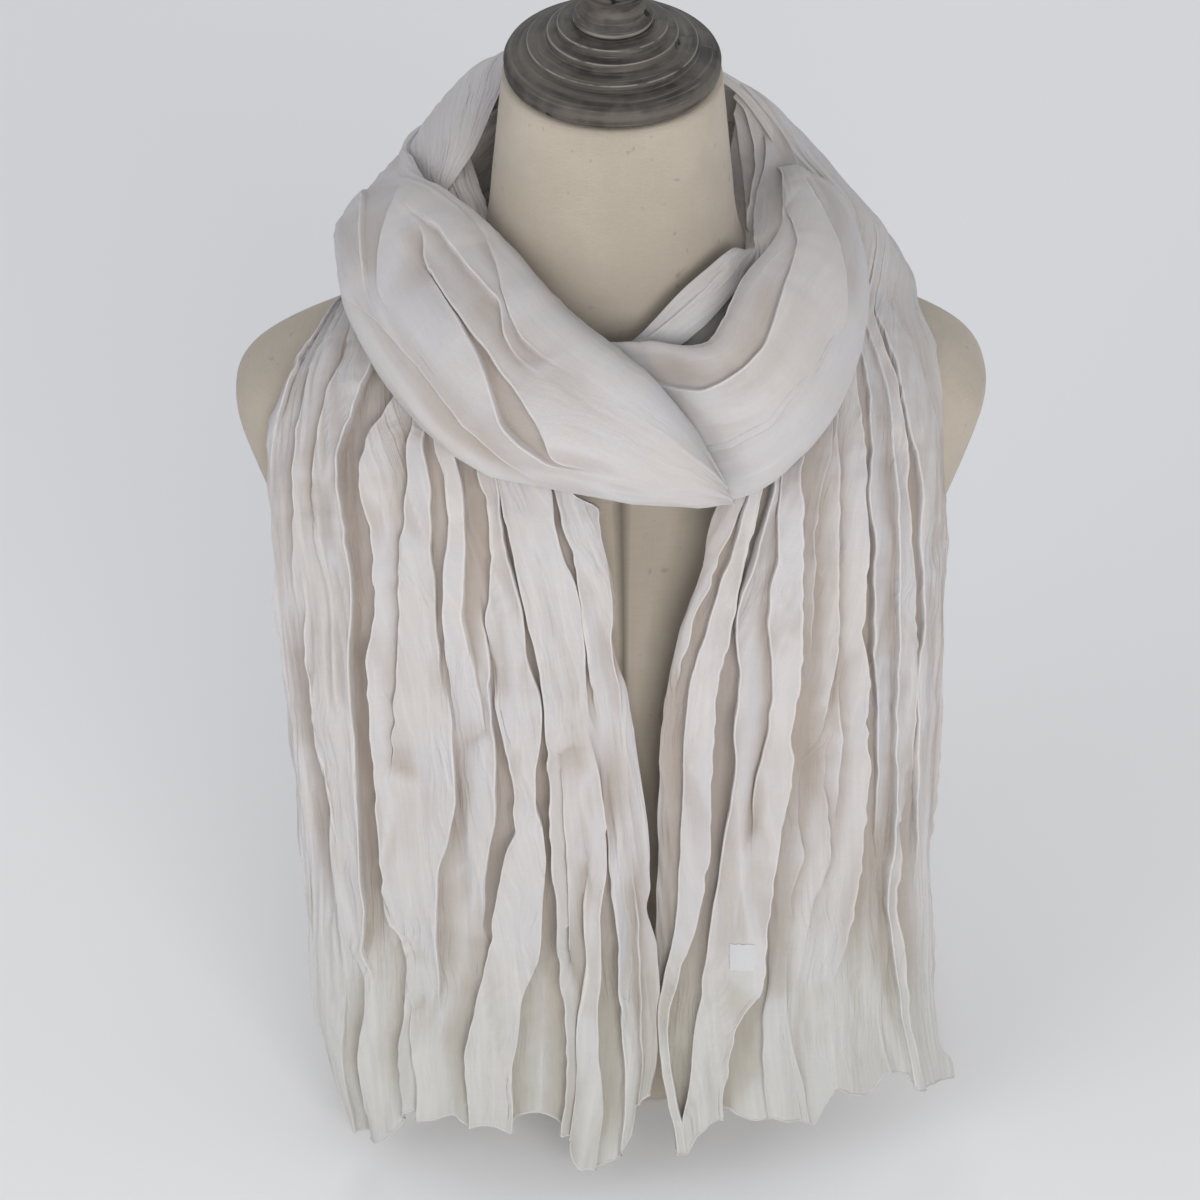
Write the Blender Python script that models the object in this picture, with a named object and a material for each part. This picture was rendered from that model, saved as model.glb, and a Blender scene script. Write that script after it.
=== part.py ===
"""A crinkled cotton linen scarf, wound once round the neck of a limbless dress form.

Units are metres, Z is up, X runs to the viewer's right and Y away from the viewer. The origin is the
middle of the form's flat underside.

The scarf is one long cloth, about 1.9 m by 0.9 m, gathered lengthways. From its right tail it goes up
over the viewer's right shoulder, behind the neck, down the left side and across the front as the left
band, folds back at the low tip, goes up the right side as the right band, passes behind the neck
again inside the first turn, and falls over the left shoulder as the left tail. Each stretch that
shows is one wall of cloth: a sheet spanned between two edges, arched over a bundle, and pleated
along its length.
"""

import math

import bpy
import numpy as np

MM = 0.001

CLOTH_WALL = 1.2 * MM
SEAM_GAP = 0.3 * MM

# The form: (height, half width, depth to the front, depth to the back, squareness, forward lean
# in degrees of the section's plane). Squareness 2 is an ellipse.
FORM_SECTIONS = (
    (0, 118, 85, 80, 2.2, 0),
    (60, 116, 84, 82, 2.2, 0),
    (140, 124, 92, 88, 2.2, 0),
    (220, 141, 105, 94, 2.2, 0),
    (290, 157, 114, 98, 2.2, 0),
    (345, 169, 111, 99, 2.3, 0),
    (390, 184, 98, 94, 2.5, 0),
    (418, 192, 86, 84, 2.6, 0),
    (434, 190, 77, 76, 2.5, 0),
    (446, 176, 72, 71, 2.4, 0),
    (460, 146, 68, 67, 2.2, 0),
    (474, 113, 65, 65, 2.1, 0),
    (488, 85, 63, 63, 2.0, 0),
    (502, 69, 61, 61, 2.0, 1),
    (520, 62.5, 59, 60, 2.0, 2),
    (550, 59, 56, 57, 2.0, 4),
    (598, 54, 52, 53, 2.0, 5.6),
)
FORM_SIDES = 40
FORM_EDGE = 2.5 * MM

# The wooden neck cap, turned: (radius, height above the neck).
CAP_LEAN = math.radians(5.6)
CAP_PROFILE = (
    (46, 0),
    (50.5, 1.2),
    (53, 5),
    (53, 9),
    (50.5, 12.5),
    (46, 14.5),
    (42.5, 15.5),
    (41.5, 18.5),
    (38.5, 20),
    (33, 21),
    (32, 24),
    (29.5, 25),
    (27.5, 26),
    (26.5, 29),
    (22, 30),
)
FINIAL_PROFILE = (
    (18.5, 0),
    (19.5, 2),
    (18.5, 4.5),
    (16, 8),
    (15, 13),
    (16.5, 18),
    (19, 23),
    (19.5, 28),
    (17.5, 33),
    (12.5, 37),
    (6, 39),
)
CAP_SIDES = 40
FINIAL_SIDES = 28

# Each stretch: a row per section along the cloth, (inner edge x, y, z, outer edge x, y, z, crown).
# The crown is how far the middle of the section stands out from the line between its edges.
TAIL_LEFT_SECTIONS = (
    (-75, -8, 503, -135, 12, 471, -1),
    (-65, -48, 485, -153, -19, 463, 3),
    (-50, -86, 468, -168, -42, 447, 8),
    (-28, -117, 437, -177, -68, 411, 12),
    (-13, -132, 399, -176, -82, 372, 15),
    (-2, -141, 345, -173, -91, 318, 17),
    (5, -146, 290, -170, -96, 262, 19),
    (11, -149, 225, -168, -99, 200, 19),
    (16, -150, 160, -169, -100, 138, 19),
    (16, -151, 95, -170, -101, 75, 19),
    (8, -153, 20, -163, -104, 8, 18),
)
TAIL_RIGHT_SECTIONS = (
    (80, -18, 493, 157, -4, 463, 2),
    (75, -54, 480, 164, -30, 450, 5),
    (62, -90, 456, 168, -55, 426, 7),
    (47, -118, 429, 168, -72, 396, 10),
    (33, -131, 390, 167, -85, 350, 14),
    (24, -138, 348, 166, -92, 308, 16),
    (20, -140, 300, 165, -97, 262, 18),
    (20, -141, 235, 165, -99, 205, 18),
    (20, -142, 165, 168, -100, 145, 18),
    (21, -144, 95, 172, -101, 80, 18),
    (27, -150, 18, 184, -103, 8, 17),
)
NAPE_OUTER_SECTIONS = (
    (80, -18, 493, 157, -4, 463, 2),
    (90, 16, 508, 154, 20, 472, 7),
    (84, 44, 530, 137, 52, 475, 13),
    (65, 68, 552, 104, 82, 470, 20),
    (28, 81, 566, 46, 102, 462, 24),
    (-10, 82, 572, -12, 106, 460, 24),
    (-44, 72, 572, -70, 96, 464, 22),
    (-65, 54, 564, -96, 70, 488, 12),
    (-72, 27, 552, -89, 33, 512, 6),
    (-75, 8, 538, -80, 10, 526, 2),
)
NAPE_INNER_SECTIONS = (
    (22, 70, 556, 26, 88, 504, 3),
    (-8, 71, 553, -9, 90, 496, 3),
    (-36, 64, 543, -44, 79, 488, 2),
    (-59, 46, 527, -79, 59, 475, -2),
    (-72, 20, 511, -109, 36, 471, -3),
    (-75, -8, 503, -135, 12, 471, -1),
)
COLLAR_RIGHT_SECTIONS = (
    (-14, -73, 480, -10, -83, 463, 2),
    (6, -76, 492, 14, -88, 469, 2),
    (27, -69, 511, 39, -80, 482, 3),
    (44, -57, 520, 58, -63, 492, 3),
    (57, -42, 522, 71, -46, 503, 2),
    (65, -22, 513, 79, -26, 517, 1),
    (68, 0, 508, 84, -2, 531, 0),
    (67, 22, 510, 87, 26, 537, -1),
    (61, 40, 515, 79, 46, 545, -2),
    (44, 58, 522, 61, 66, 556, -2),
)
COLLAR_LEFT_SECTIONS = (
    (-56, 39, 523, -61, 44, 549, 0),
    (-63, 21, 517, -67, 25, 543, 0),
    (-66, 4, 514, -70, 8, 531, 0),
    (-65.1, -14, 510.1, -71, -9, 526, 0),
    (-59, -31, 508, -62, -25, 519, 0),
    (-50, -48, 505, -51, -42, 515, 0),
)
LOOP_LEFT_SECTIONS = (
    (-84, 88, 540, -94, 96, 486, 3),
    (-97, 62, 546, -115, 66, 492, 6),
    (-97, 34, 545, -129, 34, 497, 10),
    (-93, 11, 538, -134, 8, 500, 15),
    (-78, -12, 534, -134, -20, 503, 20),
    (-60, -34, 528, -130, -48, 493, 23),
    (-42, -61, 522, -112, -82, 475, 25),
    (-23, -91, 512, -83, -115, 456, 25),
    (-2, -109, 504, -44, -133, 447, 23),
    (15, -120, 494, -5, -141, 441, 19),
    (32, -131, 473, 30, -142, 439, 13),
    (47, -138, 448, 52, -140, 437, 5),
)
LOOP_RIGHT_SECTIONS = (
    (-6, -86, 492, 8, -105, 450, 3),
    (18, -94, 498, 34, -114, 449, 7),
    (40, -99, 500, 64, -118, 448, 14),
    (51, -91, 508, 88, -104, 460, 20),
    (62, -71, 519, 106, -82, 470, 22),
    (78, -48, 524, 117, -51, 484, 22),
    (87, -22, 525, 118, -20, 498, 19),
    (88, 3, 530, 114, 7, 510, 13),
    (90, 22, 537, 102, 26, 524, 6),
)

# The long folds of each stretch: (place across from inner edge to outer, height, width across,
# sideways sway, length as a share of the stretch).
TAIL_LEFT_FOLDS = (
    (0.030, 7, 0.050, 0.006, 0.93),
    (0.095, 12, 0.060, -0.010, 0.97),
    (0.155, 9, 0.050, 0.008, 0.99),
    (0.215, 13, 0.055, 0.012, 0.95),
    (0.275, 10, 0.050, -0.012, 0.935),
    (0.335, 11, 0.055, 0.010, 0.92),
    (0.395, 8, 0.050, 0.006, 0.93),
    (0.460, 13, 0.060, -0.010, 0.935),
    (0.525, 9, 0.050, 0.010, 0.93),
    (0.590, 12, 0.060, 0.008, 0.925),
    (0.655, 9, 0.055, -0.008, 0.935),
    (0.720, 12, 0.060, 0.006, 0.93),
    (0.785, 9, 0.055, -0.008, 0.95),
    (0.850, 11, 0.055, 0.006, 0.985),
    (0.910, 8, 0.050, -0.004, 0.98),
    (0.970, 7, 0.045, 0.002, 0.97),
)
TAIL_RIGHT_FOLDS = (
    (0.035, 8, 0.06, 0.004, 0.96),
    (0.105, 12, 0.07, -0.01, 0.965),
    (0.175, 8, 0.06, 0.008, 0.94),
    (0.295, 11, 0.17, 0.004, 0.925),
    (0.405, 10, 0.06, -0.008, 0.935),
    (0.47, 13, 0.07, 0.01, 0.945),
    (0.54, 9, 0.065, 0.008, 0.95),
    (0.615, 12, 0.075, -0.008, 0.925),
    (0.69, 9, 0.065, 0.006, 0.945),
    (0.76, 12, 0.07, -0.008, 0.92),
    (0.83, 9, 0.065, 0.006, 0.925),
    (0.9, 10, 0.06, -0.004, 0.955),
    (0.965, 7, 0.05, 0.002, 0.96),
)
NAPE_OUTER_FOLDS = (
    (0.14, 5, 0.14, 0.02, 1.0),
    (0.36, 7, 0.18, -0.03, 1.0),
    (0.60, 6, 0.18, 0.03, 1.0),
    (0.82, 6, 0.16, -0.02, 1.0),
)
NAPE_INNER_FOLDS = (
    (0.25, 3, 0.22, 0.02, 1.0),
    (0.70, 3, 0.22, -0.02, 1.0),
)
COLLAR_RIGHT_FOLDS = (
    (0.20, 2.5, 0.20, 0.02, 1.0),
    (0.52, 3, 0.22, -0.03, 1.0),
    (0.82, 2.5, 0.18, 0.02, 1.0),
)
COLLAR_LEFT_FOLDS = (
    (0.25, 2, 0.26, 0.02, 1.0),
    (0.68, 2, 0.26, -0.02, 1.0),
)
LOOP_LEFT_FOLDS = (
    (0.16, 4, 0.12, 0.01, 1.0),
    (0.33, 7, 0.14, -0.03, 1.0),
    (0.50, 6, 0.13, 0.04, 1.0),
    (0.67, 7, 0.14, -0.03, 1.0),
    (0.84, 4, 0.12, 0.02, 1.0),
)
LOOP_RIGHT_FOLDS = (
    (0.18, 4, 0.13, 0.01, 1.0),
    (0.38, 6, 0.16, 0.03, 1.0),
    (0.60, 6, 0.16, -0.03, 1.0),
    (0.82, 4, 0.13, 0.02, 1.0),
)

# How far each stretch arches: the angle, each side of its crown, to which its section is carried.
FLAT_ARC = 48
BUNDLE_ARC = 104

TAIL_ROWS = 16

# The sewn label on the right tail: the places across that it spans, the tail's row above it, and its
# height.
LABEL_ACROSS = (0.24, 0.345)
LABEL_ROW = 12
LABEL_HEIGHT = 15 * MM
LABEL_WALL = 0.6 * MM

COLOURS = {
    "ivory_cloth": ((0.66, 0.62, 0.58), 0.9, 0.0),
    "linen": ((0.47, 0.42, 0.35), 0.9, 0.0),
    "dark_wood": ((0.05, 0.045, 0.04), 0.6, 0.0),
    "label": ((0.8, 0.79, 0.77), 0.8, 0.0),
}


def clear_scene():
    for obj in list(bpy.data.objects):
        bpy.data.objects.remove(obj, do_unlink=True)


def material(name):
    colour, roughness, metallic = COLOURS[name]
    made = bpy.data.materials.get(name) or bpy.data.materials.new(name)
    made.use_nodes = True
    shader = made.node_tree.nodes["Principled BSDF"]
    shader.inputs["Base Color"].default_value = (*colour, 1)
    shader.inputs["Roughness"].default_value = roughness
    shader.inputs["Metallic"].default_value = metallic
    return made


def add_mesh(name, points, faces, finish):
    mesh = bpy.data.meshes.new(name)
    mesh.from_pydata(np.asarray(points).tolist(), [], faces)
    mesh.materials.append(material(finish))
    mesh.shade_smooth()
    mesh.set_sharp_from_angle(angle=math.radians(50))
    obj = bpy.data.objects.new(name, mesh)
    bpy.context.scene.collection.objects.link(obj)
    return obj


def smooth_rows(table, places):
    """Reads a table between its rows, on a smooth curve through them; places run from 0 to 1."""
    rows = np.asarray(table, float)
    at = np.clip(np.asarray(places, float), 0, 1) * (len(rows) - 1)
    first = np.minimum(at.astype(int), len(rows) - 2)
    part = (at - first).reshape(at.shape + (1,))
    padded = np.concatenate([2 * rows[:1] - rows[1:2], rows, 2 * rows[-1:] - rows[-2:-1]])
    before, start, end, after = (padded[first + step] for step in range(4))
    return 0.5 * (
        2 * start
        + (end - before) * part
        + (2 * before - 5 * start + 4 * end - after) * part**2
        + (3 * start - before - 3 * end + after) * part**3
    )


def unit(vectors):
    return vectors / np.linalg.norm(vectors, axis=-1, keepdims=True)


def grid_normals(points):
    along = np.gradient(points, axis=0)
    across = np.gradient(points, axis=1)
    return unit(np.cross(along, across))


def wall_faces(rows, columns):
    """Faces of a closed wall whose points are an outer grid, then an inner one."""
    skin = rows * columns

    def at(row, column, layer):
        return layer * skin + row * columns + column

    faces = []
    for row in range(rows - 1):
        for column in range(columns - 1):
            a, b = at(row, column, 0), at(row, column + 1, 0)
            c, d = at(row + 1, column + 1, 0), at(row + 1, column, 0)
            faces.append((a, d, c, b))
            faces.append(tuple(corner + skin for corner in (a, b, c, d)))
    rim = (
        [(0, column) for column in range(columns)]
        + [(row, columns - 1) for row in range(1, rows)]
        + [(rows - 1, column) for column in range(columns - 2, -1, -1)]
        + [(row, 0) for row in range(rows - 2, 0, -1)]
    )
    for this, after in zip(rim, rim[1:] + rim[:1]):
        faces.append((at(*this, 0), at(*after, 0), at(*after, 1), at(*this, 1)))
    return faces


def add_wall(name, middle, thickness, finish):
    """A sheet of the given thickness, half of it on each side of a grid of points."""
    half = grid_normals(middle) * thickness / 2
    rows, columns = middle.shape[:2]
    points = np.concatenate([(middle + half).reshape(-1, 3), (middle - half).reshape(-1, 3)])
    return add_mesh(name, points, wall_faces(rows, columns), finish)


def fold_columns(folds, extra):
    """Places across a stretch: the valley, flanks and ridge of every fold, and its two edges."""
    places = [0.0, 1.0]
    for place, _, width, _, _ in folds:
        places += [place - width / 4, place, place + width / 4]
        places += [place + width / 2 + step * width / 2 for step in range(extra)]
    ridges = [fold[0] for fold in folds]
    places += [(this + after) / 2 for this, after in zip(ridges, ridges[1:])]
    places = sorted(place for place in places if 0 <= place <= 1)
    kept = places[:1]
    for place in places[1:]:
        if place - kept[-1] > 0.006:
            kept.append(place)
    return np.array(kept)


def fold_height(folds, across):
    """How far the folds raise the cloth: each is a rounded ridge that fades out at its flanks."""
    height = np.zeros_like(across)
    for place, tall, width, _, _ in folds:
        reach = np.clip(np.abs(across - place) / (0.5 * width + 0.006), 0, 1)
        height = np.maximum(height, tall * MM * 0.5 * (1 + np.cos(math.pi * reach)))
    return height


def fold_value(folds, across, column):
    """One column of the fold table, read between the folds' places."""
    places = [fold[0] for fold in folds]
    return np.interp(across, places, [fold[column] for fold in folds])


def stretch_points(sections, folds, arc, along, across):
    """The middle of one stretch of cloth, as a grid: along it by rows, across it by columns."""
    length = fold_value(folds, across, 4)
    u = along[:, None] * length[None, :]
    sway = fold_value(folds, across, 3)
    v = across[None, :] + sway[None, :] * np.sin(2.3 * math.pi * u) * np.sin(math.pi * across)[None, :]
    rows = smooth_rows(sections, u)
    inner, outer = rows[..., :3] * MM, rows[..., 3:6] * MM
    crown = rows[..., 6] * MM
    step = 1e-3
    ahead = smooth_rows(sections, u + step) - smooth_rows(sections, u - step)
    tangent = unit(ahead[..., :3] + ahead[..., 3:6])
    chord = outer - inner
    side = unit(chord)
    outward = unit(np.cross(side, tangent))
    outward = outward * outward_sign((inner + outer) / 2, outward)
    angle = (v - 0.5) * 2 * math.radians(arc)
    widest = math.sin(math.radians(min(arc, 90)))
    lowest = math.cos(math.radians(min(arc, 90)))
    lateral = 0.5 * np.linalg.norm(chord, axis=-1) * np.sin(angle) / widest
    rise = crown * (np.cos(angle) - lowest) / (1 - lowest)
    bare = (inner + outer) / 2 + lateral[..., None] * side + rise[..., None] * outward
    lift = fold_height(folds, across)[None, :] * fold_growth(u)
    return bare + lift[..., None] * grid_normals(bare) * facing(bare, outward)


def outward_sign(points, normals):
    """+1, or -1 where a stretch's normals would point to the form's axis instead of away from it."""
    away = points * (1, 1, 0)
    return math.copysign(1.0, float((away * normals).sum()))


def facing(points, outward):
    """+1 or -1, so that a grid's normals are turned to its outward side."""
    middle = tuple(size // 2 for size in points.shape[:2])
    return math.copysign(1.0, float(grid_normals(points)[middle] @ outward[middle]))


def fold_growth(along):
    """Folds are pressed flat where the cloth is gathered at the shoulder, and deeper further on."""
    return 0.35 + 0.65 * np.clip(along / 0.35, 0, 1)


def add_stretch(name, sections, folds, arc, rows, extra=0, start=0.0):
    """One stretch of cloth. It starts a share of its length in, where it is parted at a seam."""
    along = np.linspace(start, 1, rows)
    across = fold_columns(folds, extra)
    return add_wall(name, stretch_points(sections, folds, arc, along, across), CLOTH_WALL, "ivory_cloth")


def ring(half_width, front, back, squareness, sides):
    """One section of the form, round from its right side through its back."""
    turn = np.arange(sides) * 2 * math.pi / sides
    power = 2 / squareness
    x = half_width * np.sign(np.cos(turn)) * np.abs(np.cos(turn)) ** power
    depth = np.where(np.sin(turn) > 0, back, front)
    y = depth * np.sign(np.sin(turn)) * np.abs(np.sin(turn)) ** power
    return x, y


def ring_faces(rings, sides):
    faces = [tuple(range(sides - 1, -1, -1))]
    for row in range(rings - 1):
        for side in range(sides):
            after = (side + 1) % sides
            low, high = row * sides, (row + 1) * sides
            faces.append((low + side, low + after, high + after, high + side))
    top = (rings - 1) * sides
    faces.append(tuple(range(top, top + sides)))
    return faces


def add_form():
    points = []
    foot = FORM_SECTIONS[0]
    eased = [(foot[0], *(size - FORM_EDGE / MM for size in foot[1:4]), *foot[4:])]
    eased.append((FORM_EDGE / MM, *foot[1:]))
    for height, half_width, front, back, squareness, lean in eased + list(FORM_SECTIONS[1:]):
        x, y = ring(half_width * MM, front * MM, back * MM, squareness, FORM_SIDES)
        z = height * MM + y * math.tan(math.radians(lean))
        points.append(np.stack([x, y, z], axis=1))
    faces = ring_faces(len(points), FORM_SIDES)
    return add_mesh("form_torso", np.concatenate(points), faces, "linen")


def add_turned(name, profile, sides, base):
    """A turned piece on the neck's leaning axis, its first row at the given height along it."""
    points = []
    turn = np.arange(sides) * 2 * math.pi / sides
    for radius, height in profile:
        x = radius * MM * np.cos(turn)
        across = radius * MM * np.sin(turn)
        rise = base + height * MM
        y = across * math.cos(CAP_LEAN) - rise * math.sin(CAP_LEAN)
        z = across * math.sin(CAP_LEAN) + rise * math.cos(CAP_LEAN)
        points.append(np.stack([x, y, z + FORM_SECTIONS[-1][0] * MM], axis=1))
    return add_mesh(name, np.concatenate(points), ring_faces(len(profile), sides), "dark_wood")


def add_label():
    """The blank label: points of the tail's own facets, read between two of its rows and moved out."""
    across = fold_columns(TAIL_RIGHT_FOLDS, 0)
    tail = stretch_points(
        TAIL_RIGHT_SECTIONS, TAIL_RIGHT_FOLDS, FLAT_ARC, np.linspace(0, 1, TAIL_ROWS), across
    )
    columns = np.flatnonzero((across > LABEL_ACROSS[0]) & (across < LABEL_ACROSS[1]))
    upper, lower = tail[LABEL_ROW, columns], tail[LABEL_ROW + 1, columns]
    length = np.linalg.norm(lower - upper, axis=-1).mean()
    shares = 0.2 + np.array([0, 1]) * LABEL_HEIGHT / length
    patch = upper + shares[:, None, None] * (lower - upper)
    normals = grid_normals(patch)
    outward = normals * math.copysign(1.0, -float(normals[0, 1, 1]))
    lift = CLOTH_WALL / 2 + LABEL_WALL / 2 + 2 * SEAM_GAP
    return add_wall("label", patch + outward * lift, LABEL_WALL, "label")


def main():
    clear_scene()
    add_form()
    add_turned("neck_cap", CAP_PROFILE, CAP_SIDES, SEAM_GAP)
    finial_seat = CAP_PROFILE[-1][1] * MM + 2 * SEAM_GAP
    add_turned("cap_finial", FINIAL_PROFILE, FINIAL_SIDES, finial_seat)
    add_stretch("tail_left", TAIL_LEFT_SECTIONS, TAIL_LEFT_FOLDS, FLAT_ARC, TAIL_ROWS, start=0.004)
    add_stretch("tail_right", TAIL_RIGHT_SECTIONS, TAIL_RIGHT_FOLDS, FLAT_ARC, TAIL_ROWS)
    add_stretch("nape_outer", NAPE_OUTER_SECTIONS, NAPE_OUTER_FOLDS, 80, 20, extra=1, start=0.006)
    add_stretch("nape_inner", NAPE_INNER_SECTIONS, NAPE_INNER_FOLDS, FLAT_ARC, 11, start=0.004)
    add_stretch("collar_right", COLLAR_RIGHT_SECTIONS, COLLAR_RIGHT_FOLDS, FLAT_ARC, 15)
    add_stretch("collar_left", COLLAR_LEFT_SECTIONS, COLLAR_LEFT_FOLDS, FLAT_ARC, 9)
    add_stretch("loop_left", LOOP_LEFT_SECTIONS, LOOP_LEFT_FOLDS, BUNDLE_ARC, 20, extra=1)
    add_stretch("loop_right", LOOP_RIGHT_SECTIONS, LOOP_RIGHT_FOLDS, BUNDLE_ARC, 18, extra=1)
    add_label()


main()
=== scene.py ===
"""A crinkled cotton linen scarf, wound once round the neck of a limbless dress form.

Units are metres, Z is up, X runs to the viewer's right and Y away from the viewer, as in the frame.

The scarf is one long cloth, so each stretch of it that shows is one thin shell on its solid's form: a
sheet spanned between two edges, arched over a bundle, and laid in long folds. The folds are placed
where they show from the front, each with its own lip, height and length, and like ones are laid on
the hidden stretches.
"""

from __future__ import annotations

import logging
import math
from dataclasses import dataclass, field
from enum import Enum
from functools import cache

import bmesh
import bpy
import numpy as np
from bpy.types import Material, Node, NodeSocket, NodeTree, Object, bpy_prop_collection
from mathutils import Matrix, Vector

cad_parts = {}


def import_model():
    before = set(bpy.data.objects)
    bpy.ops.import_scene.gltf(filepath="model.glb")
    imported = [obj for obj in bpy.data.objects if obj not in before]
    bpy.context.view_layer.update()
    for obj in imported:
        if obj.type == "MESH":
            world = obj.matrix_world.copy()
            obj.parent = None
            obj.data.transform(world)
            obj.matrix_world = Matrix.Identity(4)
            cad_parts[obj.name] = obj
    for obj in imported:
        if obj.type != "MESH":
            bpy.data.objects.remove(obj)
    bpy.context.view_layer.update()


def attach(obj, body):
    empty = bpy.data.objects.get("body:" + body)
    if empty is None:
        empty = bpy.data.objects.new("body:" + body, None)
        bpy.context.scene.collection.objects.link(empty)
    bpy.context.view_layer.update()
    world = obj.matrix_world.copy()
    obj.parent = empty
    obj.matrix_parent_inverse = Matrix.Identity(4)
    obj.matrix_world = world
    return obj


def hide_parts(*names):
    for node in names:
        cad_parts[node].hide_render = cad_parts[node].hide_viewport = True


log = logging.getLogger("scarf")

MM = 0.001

Array = np.ndarray
Line = tuple[float, ...]
Table = tuple[Line, ...]


# Shapes as arrays


def unit(vectors: Array) -> Array:
    """Scales vectors to length one."""
    return vectors / np.maximum(np.linalg.norm(vectors, axis=-1, keepdims=True), 1e-12)


def ease(share: Array) -> Array:
    """Goes from 0 to 1 with level ends, as 3 s squared less 2 s cubed, and stays there outside."""
    share = np.clip(share, 0.0, 1.0)
    return share * share * (3.0 - 2.0 * share)


def smooth_rows(table: Table | Array, places: Array) -> Array:
    """Reads a table between its rows on a smooth curve that passes through every row.

    Args:
        table: the rows, evenly spaced from place 0 to place 1.
        places: where to read, in any shape.

    Returns:
        The table's columns at each place, on one more axis than places has.
    """
    rows = np.asarray(table, float)
    at = np.clip(np.asarray(places, float), 0, 1) * (len(rows) - 1)
    first = np.minimum(at.astype(int), len(rows) - 2)
    part = (at - first).reshape(at.shape + (1,))
    padded = np.concatenate([2 * rows[:1] - rows[1:2], rows, 2 * rows[-1:] - rows[-2:-1]])
    before, start, end, after = (padded[first + step] for step in range(4))
    return 0.5 * (
        2 * start
        + (end - before) * part
        + (2 * before - 5 * start + 4 * end - after) * part**2
        + (3 * start - before - 3 * end + after) * part**3
    )


def drift(x: Array, y: Array, seed: int) -> Array:
    """Smooth random hills, one to a unit square, between about -1 and 1.

    A lattice of seeded random heights is read between its points on eased curves.

    Args:
        x: first coordinate, in hills.
        y: second coordinate, in hills, of the same shape.
        seed: picks the lattice.

    Returns:
        The height at each place.
    """
    size = 61
    lattice = np.random.default_rng(seed).uniform(-1, 1, (size, size))
    column, row = np.floor(x).astype(int), np.floor(y).astype(int)
    right, up = ease(x - column), ease(y - row)
    near = lattice[row % size, column % size] * (1 - right) + lattice[row % size, (column + 1) % size] * right
    row = row + 1
    far = lattice[row % size, column % size] * (1 - right) + lattice[row % size, (column + 1) % size] * right
    return near * (1 - up) + far * up


def blend_rows(values: Array, reach: int) -> Array:
    """Smooths values along their first axis: a mean weighted by a bell, with the ends held.

    Args:
        values: the numbers, a row to a step.
        reach: rows that the bell reaches to each side.

    Returns:
        The smoothed values, of the same shape.
    """
    bell = np.hanning(2 * reach + 3)[1:-1]
    padded = np.concatenate([values[:1]] * reach + [values] + [values[-1:]] * reach)
    return sum(weight * padded[step : step + len(values)] for step, weight in enumerate(bell / bell.sum()))


def grid_normals(points: Array) -> Array:
    """Unit normals of a grid of points: along crossed with across."""
    return unit(np.cross(np.gradient(points, axis=0), np.gradient(points, axis=1)))


def grid_quads(rows: int, columns: int, closed: bool = False) -> Array:
    """Corner numbers of a grid's quads.

    Args:
        rows: points along.
        columns: points across.
        closed: joins the last column to the first.

    Returns:
        Four corner numbers to a quad.
    """
    row, column = np.meshgrid(np.arange(rows - 1), np.arange(columns if closed else columns - 1), indexing="ij")
    after = (column + 1) % columns
    corners = (row * columns + column, row * columns + after, (row + 1) * columns + after, (row + 1) * columns + column)
    return np.stack(corners, axis=-1).reshape(-1, 4)


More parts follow.
